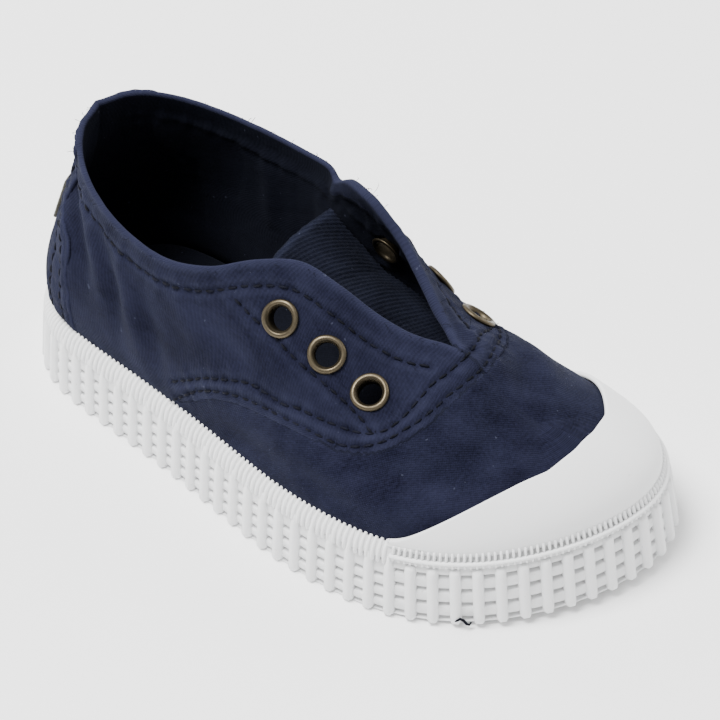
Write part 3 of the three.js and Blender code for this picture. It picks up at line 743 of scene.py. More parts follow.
# side, rows, depth (negative is a trough), half width
creases = [
    (-1, [(0.93, 0.92), (0.89, 0.80), (0.84, 0.68), (0.80, 0.53), (0.78, 0.34)], -1.7, 2.8),
    (-1, [(0.91, 0.74), (0.865, 0.60), (0.825, 0.46), (0.81, 0.26)], 1.3, 2.6),
    (-1, [(0.86, 0.90), (0.815, 0.76), (0.775, 0.60), (0.755, 0.40)], 1.0, 2.6),
    (-1, [(0.81, 0.88), (0.775, 0.70), (0.74, 0.52), (0.715, 0.22)], -1.5, 2.8),
    (-1, [(0.76, 0.84), (0.73, 0.64), (0.70, 0.42), (0.675, 0.16)], 1.1, 3.0),
    (-1, [(0.71, 0.76), (0.685, 0.55), (0.66, 0.34), (0.645, 0.12)], -1.1, 3.0),
    (-1, [(0.66, 0.80), (0.62, 0.62), (0.585, 0.47)], 0.8, 3.8),
    (-1, [(0.585, 0.60), (0.55, 0.50), (0.51, 0.46)], -0.7, 3.0),
    (-1, [(0.55, 0.06), (0.50, 0.09), (0.45, 0.11)], -0.9, 3.2),
    (-1, [(0.44, 0.18), (0.39, 0.13), (0.34, 0.11)], -0.9, 3.2),
    (-1, [(0.48, 0.24), (0.42, 0.25), (0.36, 0.25), (0.31, 0.30)], 0.7, 3.6),
    (-1, [(0.35, 0.34), (0.29, 0.38), (0.24, 0.50), (0.205, 0.68), (0.20, 0.88)], -1.0, 3.6),
    (-1, [(0.31, 0.20), (0.25, 0.28), (0.20, 0.42), (0.165, 0.58), (0.15, 0.78)], 0.9, 3.2),
    (-1, [(0.27, 0.56), (0.25, 0.70), (0.245, 0.90)], 0.6, 3.0),
    (-1, [(0.52, 0.52), (0.47, 0.53), (0.42, 0.54), (0.37, 0.50)], 0.6, 2.6),
    (-1, [(0.47, 0.86), (0.44, 0.85), (0.41, 0.83)], -0.4, 2.4),
    (1, [(0.33, 0.62), (0.27, 0.68), (0.22, 0.80), (0.20, 0.92)], -0.8, 3.8),
    (1, [(0.29, 0.50), (0.23, 0.60), (0.18, 0.74)], 0.8, 3.6),
    (1, [(0.40, 0.30), (0.33, 0.40), (0.26, 0.52), (0.20, 0.70)], 0.7, 4.5),
    (1, [(0.36, 0.80), (0.33, 0.84), (0.30, 0.90)], 1.2, 6.0),
    (1, [(0.47, 0.20), (0.43, 0.34), (0.38, 0.44)], -1.0, 3.6),
    (1, [(0.61, 0.70), (0.585, 0.48), (0.56, 0.24)], -1.1, 3.4),
    (1, [(0.66, 0.78), (0.64, 0.54), (0.62, 0.28)], 0.9, 3.4),
    (1, [(0.73, 0.82), (0.705, 0.56), (0.68, 0.24)], -1.3, 3.2),
    (1, [(0.79, 0.86), (0.775, 0.60), (0.76, 0.28)], 1.0, 3.2),
    (1, [(0.90, 0.84), (0.865, 0.64), (0.83, 0.36)], -1.3, 3.0),
    (1, [(0.93, 0.70), (0.90, 0.48), (0.87, 0.22)], 0.8, 3.0),
]
eyeletPlaces = [(-1, 0.382, 0.68), (-1, 0.443, 0.72), (-1, 0.508, 0.735),
                (1, 0.362, 0.60), (1, 0.430, 0.58), (1, 0.497, 0.60)]


def edgeRow(side, start=0.3335, inset=None):
    inset = upperSizes["facingWidth"] - 0.5 if inset is None else inset
    turns = np.concatenate([np.linspace(start, 0.36, 10), np.linspace(0.37, 1.0, 70)])
    ups = []
    for turn in turns:
        ladder = upperAt(side, turn, np.linspace(1, 0.4, 60))
        run = np.concatenate([[0], np.cumsum(np.linalg.norm(np.diff(ladder, axis=0), axis=1))])
        ups.append(float(np.interp(inset, run, np.linspace(1, 0.4, 60))))
    return list(zip(turns, ups))


def turnOnRow(row, up):
    ups = np.array([p[1] for p in row])
    turns = np.array([p[0] for p in row])
    order = np.argsort(ups)
    return np.interp(up, ups[order], turns[order])


topLine = {side: upperAt(side, np.linspace(0.312, 1, 420), 1.0) for side in (-1, 1)}
seams = {}
for side in (-1, 1):
    seams[side] = {"panel": seamLine(side, panelEdge, 0.5), "lower": seamLine(side, lowerRow, 0.5),
                   "vamp": seamLine(side, vampRow, 0.5), "eyelet": seamLine(side, eyeletRow, 0.5),
                   "inner": seamLine(side, counterRows["inner"], 0.5),
                   "outer": seamLine(side, counterRows["outer"], 0.5),
                   "counter": seamLine(side, counterEdge, 0.5)}
    seams[side]["facing"] = seamLine(side, edgeRow(side), 0.5)
creaseLines = [(side, seamLine(side, rows, 1.0)[2], depth, width)
               for side, rows, depth, width in creases]


def noiseAt(points, size, seed):
    return np.array([noise.noise(Vector((x / size + seed, y / size, z / size)))
                     for x, y, z in points])


# How far the cloth stands off the plain shape, and how worn its edges are.
def clothLift(side, turn, up, base):
    sizes = upperSizes
    side, turn, up = np.broadcast_arrays(side, turn, up)
    lift, worn = np.zeros(len(base)), np.zeros(len(base))
    above = smooth(up / 0.12 + 0.3)
    for one in (-1, 1):
        here = side == one
        if not np.any(here):
            continue
        points, t, u = base[here], turn[here], up[here]
        part, faded = np.zeros(len(points)), np.zeros(len(points))
        rows = seams[one]
        gap, _ = distanceTo(points, rows["panel"][2])
        signed = np.where(t > turnOnRow(panelEdge, u), gap, -gap)
        part += sizes["panelRise"] * smooth((signed + 0.2) / 1.0)
        gap, _ = distanceTo(points, rows["counter"][2])
        lateral = t > turnOnRow(counterEdge, u)
        part += sizes["counterRise"] * smooth((np.where(lateral, gap, -gap) + 0.2) / 1.0)
        for key, deep in (("lower", 0.28), ("vamp", 0.3), ("eyelet", 0.3), ("inner", 0.3),
                          ("outer", 0.3), ("facing", 0.38)):
            gap, where = distanceTo(points, rows[key][2])
            along = where * 0.5
            wave = (np.sin(along / 5.6 * 2 * np.pi + 3 * np.sin(along / 19.0))
                    + 0.5 * np.sin(along / 3.0 * 2 * np.pi))
            part += sizes["pucker"] * wave * np.exp(-((gap - 1.2) / 2.6)**2)
            part -= deep * np.exp(-(gap / 0.8)**2)
            part += 0.16 * np.exp(-((gap - 2.0) / 1.0)**2)
            faded += 0.30 * np.exp(-((gap - 1.4) / 0.7)**2)
        gap, _ = distanceTo(points, topLine[one])
        part += sizes["facingRise"] * smooth((sizes["facingWidth"] - gap) / 0.8)
        faded += 0.75 * np.exp(-(gap / 0.9)**2)
        lift[here], worn[here] = part, faded
    for one, line, depth, width in creaseLines:
        gap, where = distanceTo(base, line)
        share = where / max(len(line) - 1, 1)
        ends = np.sqrt(np.clip(np.sin(np.pi * np.clip(share, 0.02, 0.98)), 0, 1))
        lift += depth * ends * np.exp(-(gap / width)**2)
    calm = 1 - 0.5 * np.exp(-((up - 1) / 0.1)**2)
    lift += sizes["looseness"] * calm * noiseAt(base, 17.0, 3.1)
    lift += 0.12 * noiseAt(base, 6.0, 9.7)
    lift += 0.05 * noiseAt(base, 2.2, 5.2)
    pucker = np.sin(shareOf(side, turn) * outlineLength / 4.6 * 2 * np.pi + 2 * noiseAt(base, 9.0, 1.3))
    lift += 0.14 * pucker * np.exp(-(up / 0.05)**2)
    worn += 0.25 * smooth((lift - 0.5) / 1.2)
    return lift * above, np.clip(worn, 0, 1)


def safeNormal(side, turn, up):
    turn = np.clip(turn, 0.0, 1.0)
    up = np.minimum(up, 0.985)
    normal = upperNormalAt(side, turn, np.maximum(up, 0.004))
    return np.nan_to_num(normal, nan=0.0)


def onCloth(side, turn, up, off=0.0):
    turn, up = np.broadcast_arrays(np.asarray(turn, float), np.asarray(up, float))
    shape = turn.shape
    sides = np.full(turn.size, side, float)
    base = upperAt(side, turn, up).reshape(-1, 3)
    normal = safeNormal(side, turn, up).reshape(-1, 3)
    lift, _ = clothLift(sides, turn.ravel(), up.ravel(), base)
    off = np.broadcast_to(off, shape).ravel()
    return (base + normal * (lift + off)[:, None]).reshape(shape + (3,)), normal.reshape(shape + (3,))


def makeUpper():
    sizes = upperSizes
    half, rows = sizes["columns"], sizes["rows"]
    turns = np.concatenate([np.linspace(0, 0.30, int(half * 0.30), endpoint=False),
                            np.linspace(0.30, 0.36, int(half * 0.11), endpoint=False),
                            np.linspace(0.36, 1.0, half - int(half * 0.30) - int(half * 0.11))])
    ups = np.concatenate([[-1.0, -0.5, -0.15], np.linspace(0, 1, rows - 3)])
    sides = np.concatenate([-np.ones(len(turns)), np.ones(len(turns) - 1)])
    around = np.concatenate([turns, turns[::-1][1:]])
    side = np.repeat(sides[:, None], rows, 1)
    turn = np.repeat(around[:, None], rows, 1)
    up = np.repeat(ups[None], len(around), 0)
    grid = np.stack([upperAt(s, t, u) for s, t, u in zip(side, turn, up)])
    rise, run = lengthAlong(grid, 1), lengthAlong(grid, 0)
    fromRidge = (rise[:, -1:] - rise) * side
    vampMap = np.stack([fromRidge, grid[..., 1] * 0.85 + grid[..., 2] * 0.55], -1)
    quarterMap = np.stack([run, rise], -1)
    behind = turn > turnOnRow(panelEdge, up)
    uv = np.where(behind[..., None], quarterMap, vampMap)
    points, faces, first = weld(grid)
    side, turn, up, uv = side.ravel()[first], turn.ravel()[first], up.ravel()[first], uv.reshape(-1, 2)[first]
    normals, faces = facingOut(points, faces, points.mean(0))
    lift, worn = clothLift(side, turn, up, points)
    keep = np.ones(len(points), bool)
    for one, t, u in eyeletPlaces:
        centre = upperAt(one, t, u)
        gap = np.linalg.norm(points - centre, axis=1)
        keep &= ~((gap < sizes["holeRadius"]) & (side * one >= 0))
    faces = [f for f in faces if all(keep[v] for v in f)]
    outer = points + normals * lift[:, None]
    fold = np.where(side > 0, smooth((turn - 0.34) / 0.04) * smooth((0.62 - turn) / 0.03), 0)
    thinner = shoe["canvas"] + (fold * 1.0 - 0.35) * smooth((up - 0.82) / 0.1)
    inner = points + normals * (np.minimum(lift, 0.8) - thinner)[:, None]
    toEdge = unit(upperAt(side, turn, 1.0) - upperAt(side, turn, 0.96))
    crown = toEdge * np.where(up > 0.999, 0.8, 0.0)[:, None]
    allPoints, allFaces, kinds = shell(outer, inner, faces, crown)
    extra = len(allPoints) - 2 * len(points)
    uv = np.vstack([uv, uv, np.zeros((extra, 2))])
    worn = np.concatenate([worn, worn * 0, np.full(extra, 0.75)])
    # the rolled edge takes the map of the nearest place on the outside
    if extra:
        nearBy = np.zeros(extra, dtype=int)
        rim = np.where(up > 0.999)[0]
        for k in range(extra):
            nearBy[k] = rim[np.argmin(np.sum((outer[rim] - allPoints[2 * len(points) + k])**2, 1))]
        uv[2 * len(points):] = uv[nearBy] + np.array([0.7, 0.3])
    count = len(points)
    turnedIn = (up > 0.87) & (fold > 0.5)
    finish = [1 if kind == 1 and not turnedIn[face[0] - count] else 0 for kind, face in zip(kinds, allFaces)]
    item = makeObject("upper_cloth", allPoints, allFaces, (navyCanvas, liningCloth), finish, uv,
                      {"worn": worn})
    finishPiece(item, "canvas", "upper")
    return item


makeUpper()


# Folded edge of a panel: a narrow band along the seam, turned under at the front.
def makeFold(name, side, key, front):
    turns, ups, line = seams[side][key]
    keep = np.arange(0, len(line), 2)
    turns, ups, line = turns[keep], ups[keep], line[keep]
    along = unit(np.gradient(line, axis=0))
    normal = safeNormal(side, turns, ups)
    across = unit(np.cross(normal, along)) * front
    section = [(-2.1, -0.25), (-1.6, 0.10), (-0.8, 0.17), (-0.1, 0.17), (0.22, 0.05), (0.38, -0.2),
               (0.40, -0.62), (0.2, -0.95), (-1.6, -0.95), (-2.1, -0.6)]
    behindLift, _ = clothLift(np.full(len(line), side, float), turns, ups, line - across * 1.6)
    rings = []
    for k in range(len(line)):
        rings.append([line[k] + across[k] * a + normal[k] * (behindLift[k] + b) for a, b in section])
    grid = np.array(rings)
    rows, columns = grid.shape[:2]
    faces = tubeFaces(rows, columns)
    run = np.arange(rows) * 1.0
    uv = np.stack([np.repeat(run, columns), np.tile([s[0] * 1.4 for s in section], rows)], -1)
    worn = np.tile([0.05, 0.1, 0.25, 0.5, 0.9, 0.8, 0.3, 0, 0, 0], rows)
    item = makeObject(name, grid.reshape(-1, 3), faces, (navyCanvas,), None, uv, {"worn": worn})
    fixNormals(item)
    return item


def fixNormals(item):
    bpy.ops.object.select_all(action="DESELECT")
    item.select_set(True)
    bpy.context.view_layer.objects.active = item
    bpy.ops.object.mode_set(mode="EDIT")
    bpy.ops.mesh.select_all(action="SELECT")
    bpy.ops.mesh.normals_make_consistent(inside=False)
    bpy.ops.object.mode_set(mode="OBJECT")


def outwardSign(side, key):
    turns, ups, line = seams[side][key]
    k = len(line) // 2
    along = line[k + 1] - line[k]
    across = np.cross(safeNormal(side, turns[k:k + 1], ups[k:k + 1])[0], along)
    ahead = upperAt(side, turns[k] - 0.03, ups[k]) - line[k]
    return 1.0 if np.dot(across, ahead) > 0 else -1.0


folds = [makeFold("fold_" + str(k), side, key, outwardSign(side, key))
         for k, (side, key) in enumerate([(-1, "panel"), (1, "panel"), (-1, "counter"), (1, "counter")])]
panelFolds = addTo(folds[0], *folds[1:])
panelFolds.name = "panel_edges"
finishPiece(panelFolds, "canvas")


# Stitches.
def makePattern(name, sections):
    points = np.vstack([np.array(s, float) for s in sections])
    faces = tubeFaces(len(sections), len(sections[0]))
    item = makeObject(name, points, faces)
    fixNormals(item)
    return item


stitchSizes = {"step": 3.0, "length": 2.25, "width": 0.62, "height": 0.36, "wobble": 0.07}


def makeStitches():
    sizes = stitchSizes
    places, alongs, outs = [], [], []
    for side in (-1, 1):
        for rows in (lowerRow, vampRow, eyeletRow, counterRows["inner"], counterRows["outer"],
                     edgeRow(side)):
            turns, ups, _ = seamLine(side, rows, sizes["step"])
            point, normal = onCloth(side, turns, ups)
            tangent = unit(np.gradient(point, axis=0))
            places.append(point + normal * 0.06)
            alongs.append(tangent)
            outs.append(normal)
    half, width, height = sizes["length"] / 2, sizes["width"] / 2, sizes["height"]
    sections = []
    for share in (-1, -0.85, -0.4, 0.4, 0.85, 1):
        size = math.sqrt(max(0.06, 1 - abs(share)**4))
        drop = -0.22 * share**4
        sections.append([(share * half, math.cos(a) * width * size,
                          drop + math.sin(a) * height * size) for a in np.arange(6) * math.pi / 3])
    pattern = makePattern("stitch_pattern", sections)
    item = setAlong("upper_stitches", np.vstack(places), np.vstack(alongs), np.vstack(outs),
                    pattern, navyThread, spread=sizes["wobble"])
    finishPiece(item, "canvas")
    return item


makeStitches()


# Sole.
soleSizes = {
    "around": 1680, "sideSlits": (0.55, 3.6, 6.7, 9.9), "toeSlits": (1.1, 4.8, 8.5, 12.2),
    "slitHeight": 0.95, "face": 1.35, "deep": 2.7, "ribWidth": 2.6, "ribHeight": 14.4,
    "toeFrom": 0.30, "treadDepth": 1.0, "floorInset": 7.0,
}


# 1 in the toe part, where the band changes to thin teeth, and 0 behind it.
def toeShare(u):
    half = np.where(u < heelShare, u / heelShare, (1 - u) / (1 - heelShare))
    return smooth((soleSizes["toeFrom"] - half) / 0.012 + 0.5)


def inToe(u):
    return toeShare(u) > 0.5


def draftAt(z):
    return shoe["draft"] * np.minimum(z, shoe["ribTop"]) / shoe["ribTop"]


def makeOutsole():
    sizes = soleSizes
    count = sizes["around"]
    u = np.arange(count) / count
    toe = toeShare(u)
    top, face, deep, half = shoe["ribTop"], sizes["face"], sizes["deep"], sizes["slitHeight"] / 2
    # the last number of each level is its recess value: painted shade with grime, highest in the deep slits
    levels = [(5.0, 0.0 * toe, 0.3), (2.6, 0.0 * toe, 0.3), (face + 0.35, 0.0 * toe, 0.3)]
    for side, front in zip(sizes["sideSlits"], sizes["toeSlits"]):
        z = side + (front - side) * toe
        for inset, step, dirtAndShade in ((face, -half - 0.35, 0.05), (face + 0.12, -half - 0.08, 0.0),
                                  (deep, -half + 0.08, 0.9), (deep, half - 0.08, 1.0),
                                  (face + 0.25, half, 0.7), (face + 0.02, half + 0.3, 0.15)):
            height = np.maximum(z + step, 0.12)
            levels.append((inset + draftAt(height), height, dirtAndShade))
    last = levels[-1][1]
    for inset, toeInset, share in ((1.5, 1.5, 0.45), (2.0, 1.6, 0.8), (2.7, 1.8, 1.0)):
        height = last + (top - 0.25 - last) * share
        levels.append((inset + (toeInset - inset) * toe + draftAt(height), height, 0.5 * share))
    levels += [(3.9, top + 0 * toe, 0.6), (5.0, top + 0 * toe, 0.6), (5.0, shoe["wallFloor"] + 0 * toe, 0.5)]
    rings = []
    for inset, height, _ in levels:
        rings.append(soleRing(u, inset, height))
    points, faces = stack(rings, around=False)
    recess = [np.full(count, dirtAndShade) for _, _, dirtAndShade in levels]
    # underside: shallow waves across, and the flat floor inside the cup
    base = len(points)
    extra, extraFaces = [], []
    for ringIndex, low, wave in ((0, 0.0, sizes["treadDepth"]), (len(levels) - 1, shoe["wallFloor"], 0.0)):
        level = soleRing(u, sizes["floorInset"], low)
        level[:, 2] += wave * 0.5 * (1 + np.sin(level[:, 1] * 2 * np.pi / shoe["ribPitch"]))
        start = base + sum(len(e) for e in extra)
        extra.append(level)
        for i in range(count):
            j = (i + 1) % count
            extraFaces.append([ringIndex * count + i, ringIndex * count + j, start + j, start + i])
        for i in range(count // 2):
            quad = []
            for k in (i, i + 1, (count - i - 1) % count, (count - i) % count):
                if k not in quad:
                    quad.append(k)
            if len(quad) > 2:
                extraFaces.append([start + k for k in quad])
    recess = np.concatenate(recess + [np.full(len(e), 0.5) for e in extra])
    points = np.vstack([points] + extra)
    item = makeObject("outsole_wall", points, faces + extraFaces, (whiteRubber,), values={"recess": recess})
    fixNormals(item)
    finishPiece(item, "rubber", "outsole")
    return item


makeOutsole()


def alongOutline(shares):
    point, _ = outlineAt(shares, np.zeros(len(shares)))
    ahead, _ = outlineAt(shares + 0.001, np.zeros(len(shares)))
    along = unit(ahead - point)
    places = np.column_stack([point, springAt(point[:, 1])])
    return places, np.column_stack([along, np.zeros(len(along))])


# Upright rounded bar: rows of (inset of its face, height, half width).
def barPattern(name, rows, depth):
    sections = []
    for inset, z, halfWidth in rows:
        sections.append([(halfWidth * x, -inset - depth * y, z) for x, y in
                         ((-1.0, 1.0), (-0.95, 0.45), (-0.55, 0.06), (0.55, 0.06), (0.95, 0.45), (1.0, 1.0))])
    return makePattern(name, sections)


def soleRow(name, shares, pattern, finish, size=(1, 1, 1)):
    places, along = alongOutline(shares)
    up = np.tile([0.0, 0.0, 1.0], (len(places), 1))
    return setAlong(name, places, along, up, pattern, finish, size)


def makeSoleRibs():
    sizes = soleSizes
    ribs = int(round(outlineLength / shoe["ribPitch"]))
    shares = (np.arange(ribs) + 0.5) / ribs
    toe = inToe(shares)
    half = sizes["ribWidth"] / 2
    tall = [(0.75, 0.03, half * 0.7), (0.2, 0.35, half * 0.95), (0.12, 1.0, half), (draftAt(4), 4, half),
            (draftAt(8), 8, half), (draftAt(12), 11.6, half * 0.97), (draftAt(13.4), 13.3, half * 0.8),
            (2.15, 14.6, half * 0.5), (2.6, 15.8, half * 0.36)]
    top = sizes["ribHeight"]
    short = [(0.75, 0.03, half * 0.7), (0.2, 0.35, half * 0.95), (0.12, 1.0, half), (draftAt(4), 4, half),
             (draftAt(8), 8, half), (draftAt(12), 12, half), (draftAt(13.6), top - 0.75, half),
             (draftAt(14.2) + 0.25, top - 0.2, half * 0.9), (draftAt(14.4) + 1.1, top, half * 0.7)]
    item = addTo(soleRow("sole_ribs", shares[~toe], barPattern("tall", tall, 2.2), whiteRubber),
                 soleRow("toe_ribs", shares[toe], barPattern("short", short, 2.2), whiteRubber))
    finishPiece(item, "rubber")
    return item


makeSoleRibs()


# Strip around the top of the sole.
stripSizes = {"around": 1400, "finePitch": 1.5, "fineWidth": 0.98, "toothPitch": 1.42,
              "toothWidth": 0.70, "cordRadius": 0.40, "cordHeight": 16.3, "cordInset": 2.95}


def makeStrip():
    sizes = stripSizes
    count = sizes["around"]
    u = np.arange(count) / count
    toe = toeShare(u)
    low = shoe["ribTop"] + shoe["gap"]
    # inset and height behind the toe, inset and height at the toe, recess value: grime with painted shade,
    # darker towards the top of the band
    levels = [(5.0, 0.0, 5.0, 0.0, 0.6), (3.1, 0.0, 3.0, 0.0, 0.8), (2.85, 0.4, 2.85, 0.3, 0.7),
              (3.25, 1.4, 3.3, 1.2, 0.5), (3.75, 2.4, 4.0, 1.6, 0.8), (4.35, 3.0, 4.35, 2.4, 0.9),
              (4.7, 3.35, 4.65, 3.3, 0.9), (5.0, 3.5, 5.0, 3.6, 1.0)]
    rings, recess = [], []
    for inset, z, toeInset, toeZ, dirtAndShade in levels:
        rings.append(soleRing(u, inset + (toeInset - inset) * toe, low + z + (toeZ - z) * toe))
        recess.append(np.full(count, dirtAndShade))
    points, faces = stack(rings, around=True)
    item = makeObject("strip_band", points, faces, (whiteRubber,), values={"recess": np.concatenate(recess)})
    fixNormals(item)
    # fine ribs on the sloping band, then teeth above and below a raised cord around the toe
    fineCount = int(round(outlineLength / sizes["finePitch"]))
    fine = (np.arange(fineCount) + 0.5) / fineCount
    half = sizes["fineWidth"] / 2
    rows = [(2.9, 13.5, half * 0.35), (2.3, 13.9, half * 0.8), (2.1, 14.5, half), (2.2, 15.6, half),
            (2.75, 16.9, half), (3.35, 17.7, half * 0.95), (4.2, 18.3, half * 0.85), (5.0, 18.75, half * 0.7)]
    parts = [soleRow("fine_ribs", fine[~inToe(fine)], barPattern("fine", rows, 1.3), whiteRubber)]
    teeth = int(round(outlineLength / sizes["toothPitch"]))
    shares = (np.arange(teeth) + 0.5) / teeth
    shares = shares[inToe(shares)]
    half = sizes["toothWidth"] / 2
    rows = [(2.9, 16.2, half), (2.95, 17.0, half), (3.2, 17.9, half), (3.5, 18.35, half),
            (3.9, 18.5, half * 0.8)]
    parts.append(soleRow("toe_teeth", shares, barPattern("tooth", rows, 1.4), whiteRubber))
    rows = [(2.9, 14.7, half * 0.5), (2.5, 15.0, half), (2.55, 15.7, half), (2.7, 16.2, half)]
    parts.append(soleRow("low_teeth", shares, barPattern("lowTooth", rows, 1.3), whiteRubber))
    # the cord runs only around the toe
    edge = soleSizes["toeFrom"]
    u = np.concatenate([np.linspace(1 - edge * (1 - heelShare), 1, 260)[:-1],
                        np.linspace(0, edge * heelShare, 260)])
    rings = []
    for k in range(8):
        angle = k * math.pi / 4
        inset = sizes["cordInset"] - sizes["cordRadius"] * math.cos(angle) * 1.5
        rings.append(soleRing(u, inset, sizes["cordHeight"] + sizes["cordRadius"] * math.sin(angle)))
    grid = np.array(rings)
    faces = []
    count = len(u)
    for k in range(8):
        n = (k + 1) % 8
        for i in range(count - 1):
            faces.append([k * count + i, k * count + i + 1, n * count + i + 1, n * count + i])
    faces.append([k * count for k in range(8)])
    faces.append([k * count + count - 1 for k in range(8)][::-1])
    cord = makeObject("toe_cord", grid.reshape(-1, 3), faces, (whiteRubber,))
    fixNormals(cord)
    item = addTo(item, cord, *parts)
    finishPiece(item, "rubber", "foxing_strip")
    return item


makeStrip()


# Toe cap.
capSizes = {"thickness": 1.25, "lowest": 0.012, "columns": 150, "rows": 44,
            "middle": (8.0, -60.0, 15.0)}
capEdge = {
    -1: [(0.0, 0.640), (0.015, 0.637), (0.085, 0.598), (0.147, 0.50), (0.185, 0.39), (0.217, 0.30),
         (0.258, 0.16), (0.290, 0.035), (0.30, 0.0)],
    1: [(0.0, 0.640), (0.08, 0.572), (0.13, 0.482), (0.158, 0.42), (0.20, 0.30), (0.25, 0.15),
        (0.285, 0.04), (0.30, 0.0)],
}


def capUp(side, turn):
    keys = {one: np.array(capEdge[one]) for one in (-1, 1)}
    t = np.linspace(-0.30, 0.36, 133)
    here = np.interp(np.abs(t), keys[side][:, 0], keys[side][:, 1])
    there = np.interp(np.abs(t), keys[-side][:, 0], keys[-side][:, 1])
    rough = np.where(t < 0, there, here)
    soft = np.convolve(np.pad(rough, 4, mode="edge"), np.ones(9) / 9, "valid")
    return np.interp(turn, t, soft)


def makeToeCap():
    sizes = capSizes
    half = sizes["columns"]
    columns = []
    for side in (1, -1):
        turns = np.linspace(0, 0.32, 1200)
        heights = capUp(side, turns)
        end = turns[np.where(heights > sizes["lowest"])[0][-1]]
        shares = np.linspace(0, 1, half)
        turns = end * (1 - (1 - shares)**1.6)
        heights = capUp(side, turns)
        order = slice(None, None, -1) if side == 1 else slice(1, None)
        for turn, height in zip(turns[order], heights[order]):
            columns.append((side, turn, max(height, 0.004)))
    steps = np.concatenate([[-0.35, -0.15], np.linspace(0, 0.9, sizes["rows"] - 12),
                            0.9 + 0.1 * (1 - (1 - np.linspace(0.1, 1, 10))**2)])
    side = np.array([c[0] for c in columns])[:, None] + 0 * steps
    turn = np.array([c[1] for c in columns])[:, None] + 0 * steps
    height = np.array([c[2] for c in columns])[:, None]
    up = np.where(steps < 0, steps * 0.35, steps * height)
    grid = np.stack([upperAt(s, t, u) for s, t, u in zip(side, turn, up)])
    points, faces, first = weld(grid)
    normals, faces = facingOut(points, faces, np.array(sizes["middle"]))
    lift = 0.10 * noiseAt(points, 12.0, 2.2) + 0.03 * noiseAt(points, 4.0, 8.1)
    outer = points + normals * (sizes["thickness"] + lift)[:, None]
    inner = points + normals * 0.1
    isTop = np.broadcast_to(steps > 0.999, grid.shape[:2]).ravel()[first]
    back = grid[:, -1] - grid[:, -4]
    back = np.repeat(unit(back)[:, None], grid.shape[1], 1).reshape(-1, 3)[first]
    crown = back * np.where(isTop, 0.55, 0.0)[:, None]
    allPoints, allFaces, _ = shell(outer, inner, faces, crown, 6)
    item = makeObject("toe_cap_rubber", allPoints, allFaces, (capRubber,),
                      values={"recess": np.zeros(len(allPoints))})
    finishPiece(item, "rubber", "toe_cap")
    return item


makeToeCap()


# Eyelets.
eyeletSizes = {"bore": 2.72, "outer": 4.35, "steps": 56}


def makeEyelet(name, side, turn, up):
    sizes = eyeletSizes
    b, o = sizes["bore"], sizes["outer"]
    profile = [(b + 0.25, -1.9), (b + 0.3, 0.2), (o - 0.15, 0.2), (o, 0.34), (o + 0.02, 0.62),
               (o - 0.12, 0.92), (o - 0.4, 1.14), (o - 0.75, 1.22), (o - 1.1, 1.14), (b + 0.4, 0.95),
               (b + 0.15, 0.66), (b + 0.02, 0.3), (b, -0.4), (b, -2.2), (b + 0.12, -2.75), (b + 0.5, -3.05),
               (b + 0.95, -3.0), (b + 1.2, -2.75), (b + 1.1, -2.5), (b + 0.5, -2.4)]
    # how much lighter each ring of the profile is: a painted highlight on the rolled rim's crown and inner
    # lip, together with rubbed wear
    rimHighlightAndWear = [0, 0, 0, 0.1, 0.3, 0.7, 0.9, 0.7, 0.3, 0.1, 0.6, 0.5, 0.1, 0, 0, 0, 0, 0, 0, 0]
    centre = upperAt(side, turn, up)
    normal = safeNormal(side, np.array([turn]), np.array([up]))[0]
    lift, _ = clothLift(np.array([float(side)]), np.array([turn]), np.array([up]), centre[None])
    right = unit(np.cross(normal, [0.0, 0.0, 1.0]))
    upward = np.cross(right, normal)
    rings, worn = [], []
    angles = np.arange(sizes["steps"]) * 2 * np.pi / sizes["steps"]
    for (radius, height), bright in zip(profile, rimHighlightAndWear):
        wave = 0.05 * np.sin(angles * 3 + turn * 40)
        rings.append(centre + normal * (height + lift[0] * 0.6)
                     + (np.cos(angles)[:, None] * right + np.sin(angles)[:, None] * upward)
                     * (radius + (wave[:, None] if radius > b + 0.4 else 0)))
        worn.append(np.full(sizes["steps"], bright * 0.45))
    points, faces = stack(rings, around=True)
    item = makeObject(name + "_ring", points, faces, (antiqueBrass,), values={"worn": np.concatenate(worn)})
    fixNormals(item)
    finishPiece(item, "brass", name)
    return item


for index, (side, turn, up) in enumerate(eyeletPlaces):
    name = ("eyelet_lateral_" if side < 0 else "eyelet_medial_") + str(index % 3 + 1)
    makeEyelet(name, side, turn, up)


# Elastic gore.
goreSizes = {
    "thickness": 1.0, "sag": 3.4, "from": 0.34, "to": 0.555, "medialReach": 0.022,
    "up": {-1: [0.85, 0.85, 0.85, 0.85], 1: [0.62, 0.40, 0.44, 0.78]}, "slack": {-1: 2.0, 1: 1.6},
    "ribPitch": 1.15, "ribHeight": 0.22, "rows": 170, "across": 90,
}


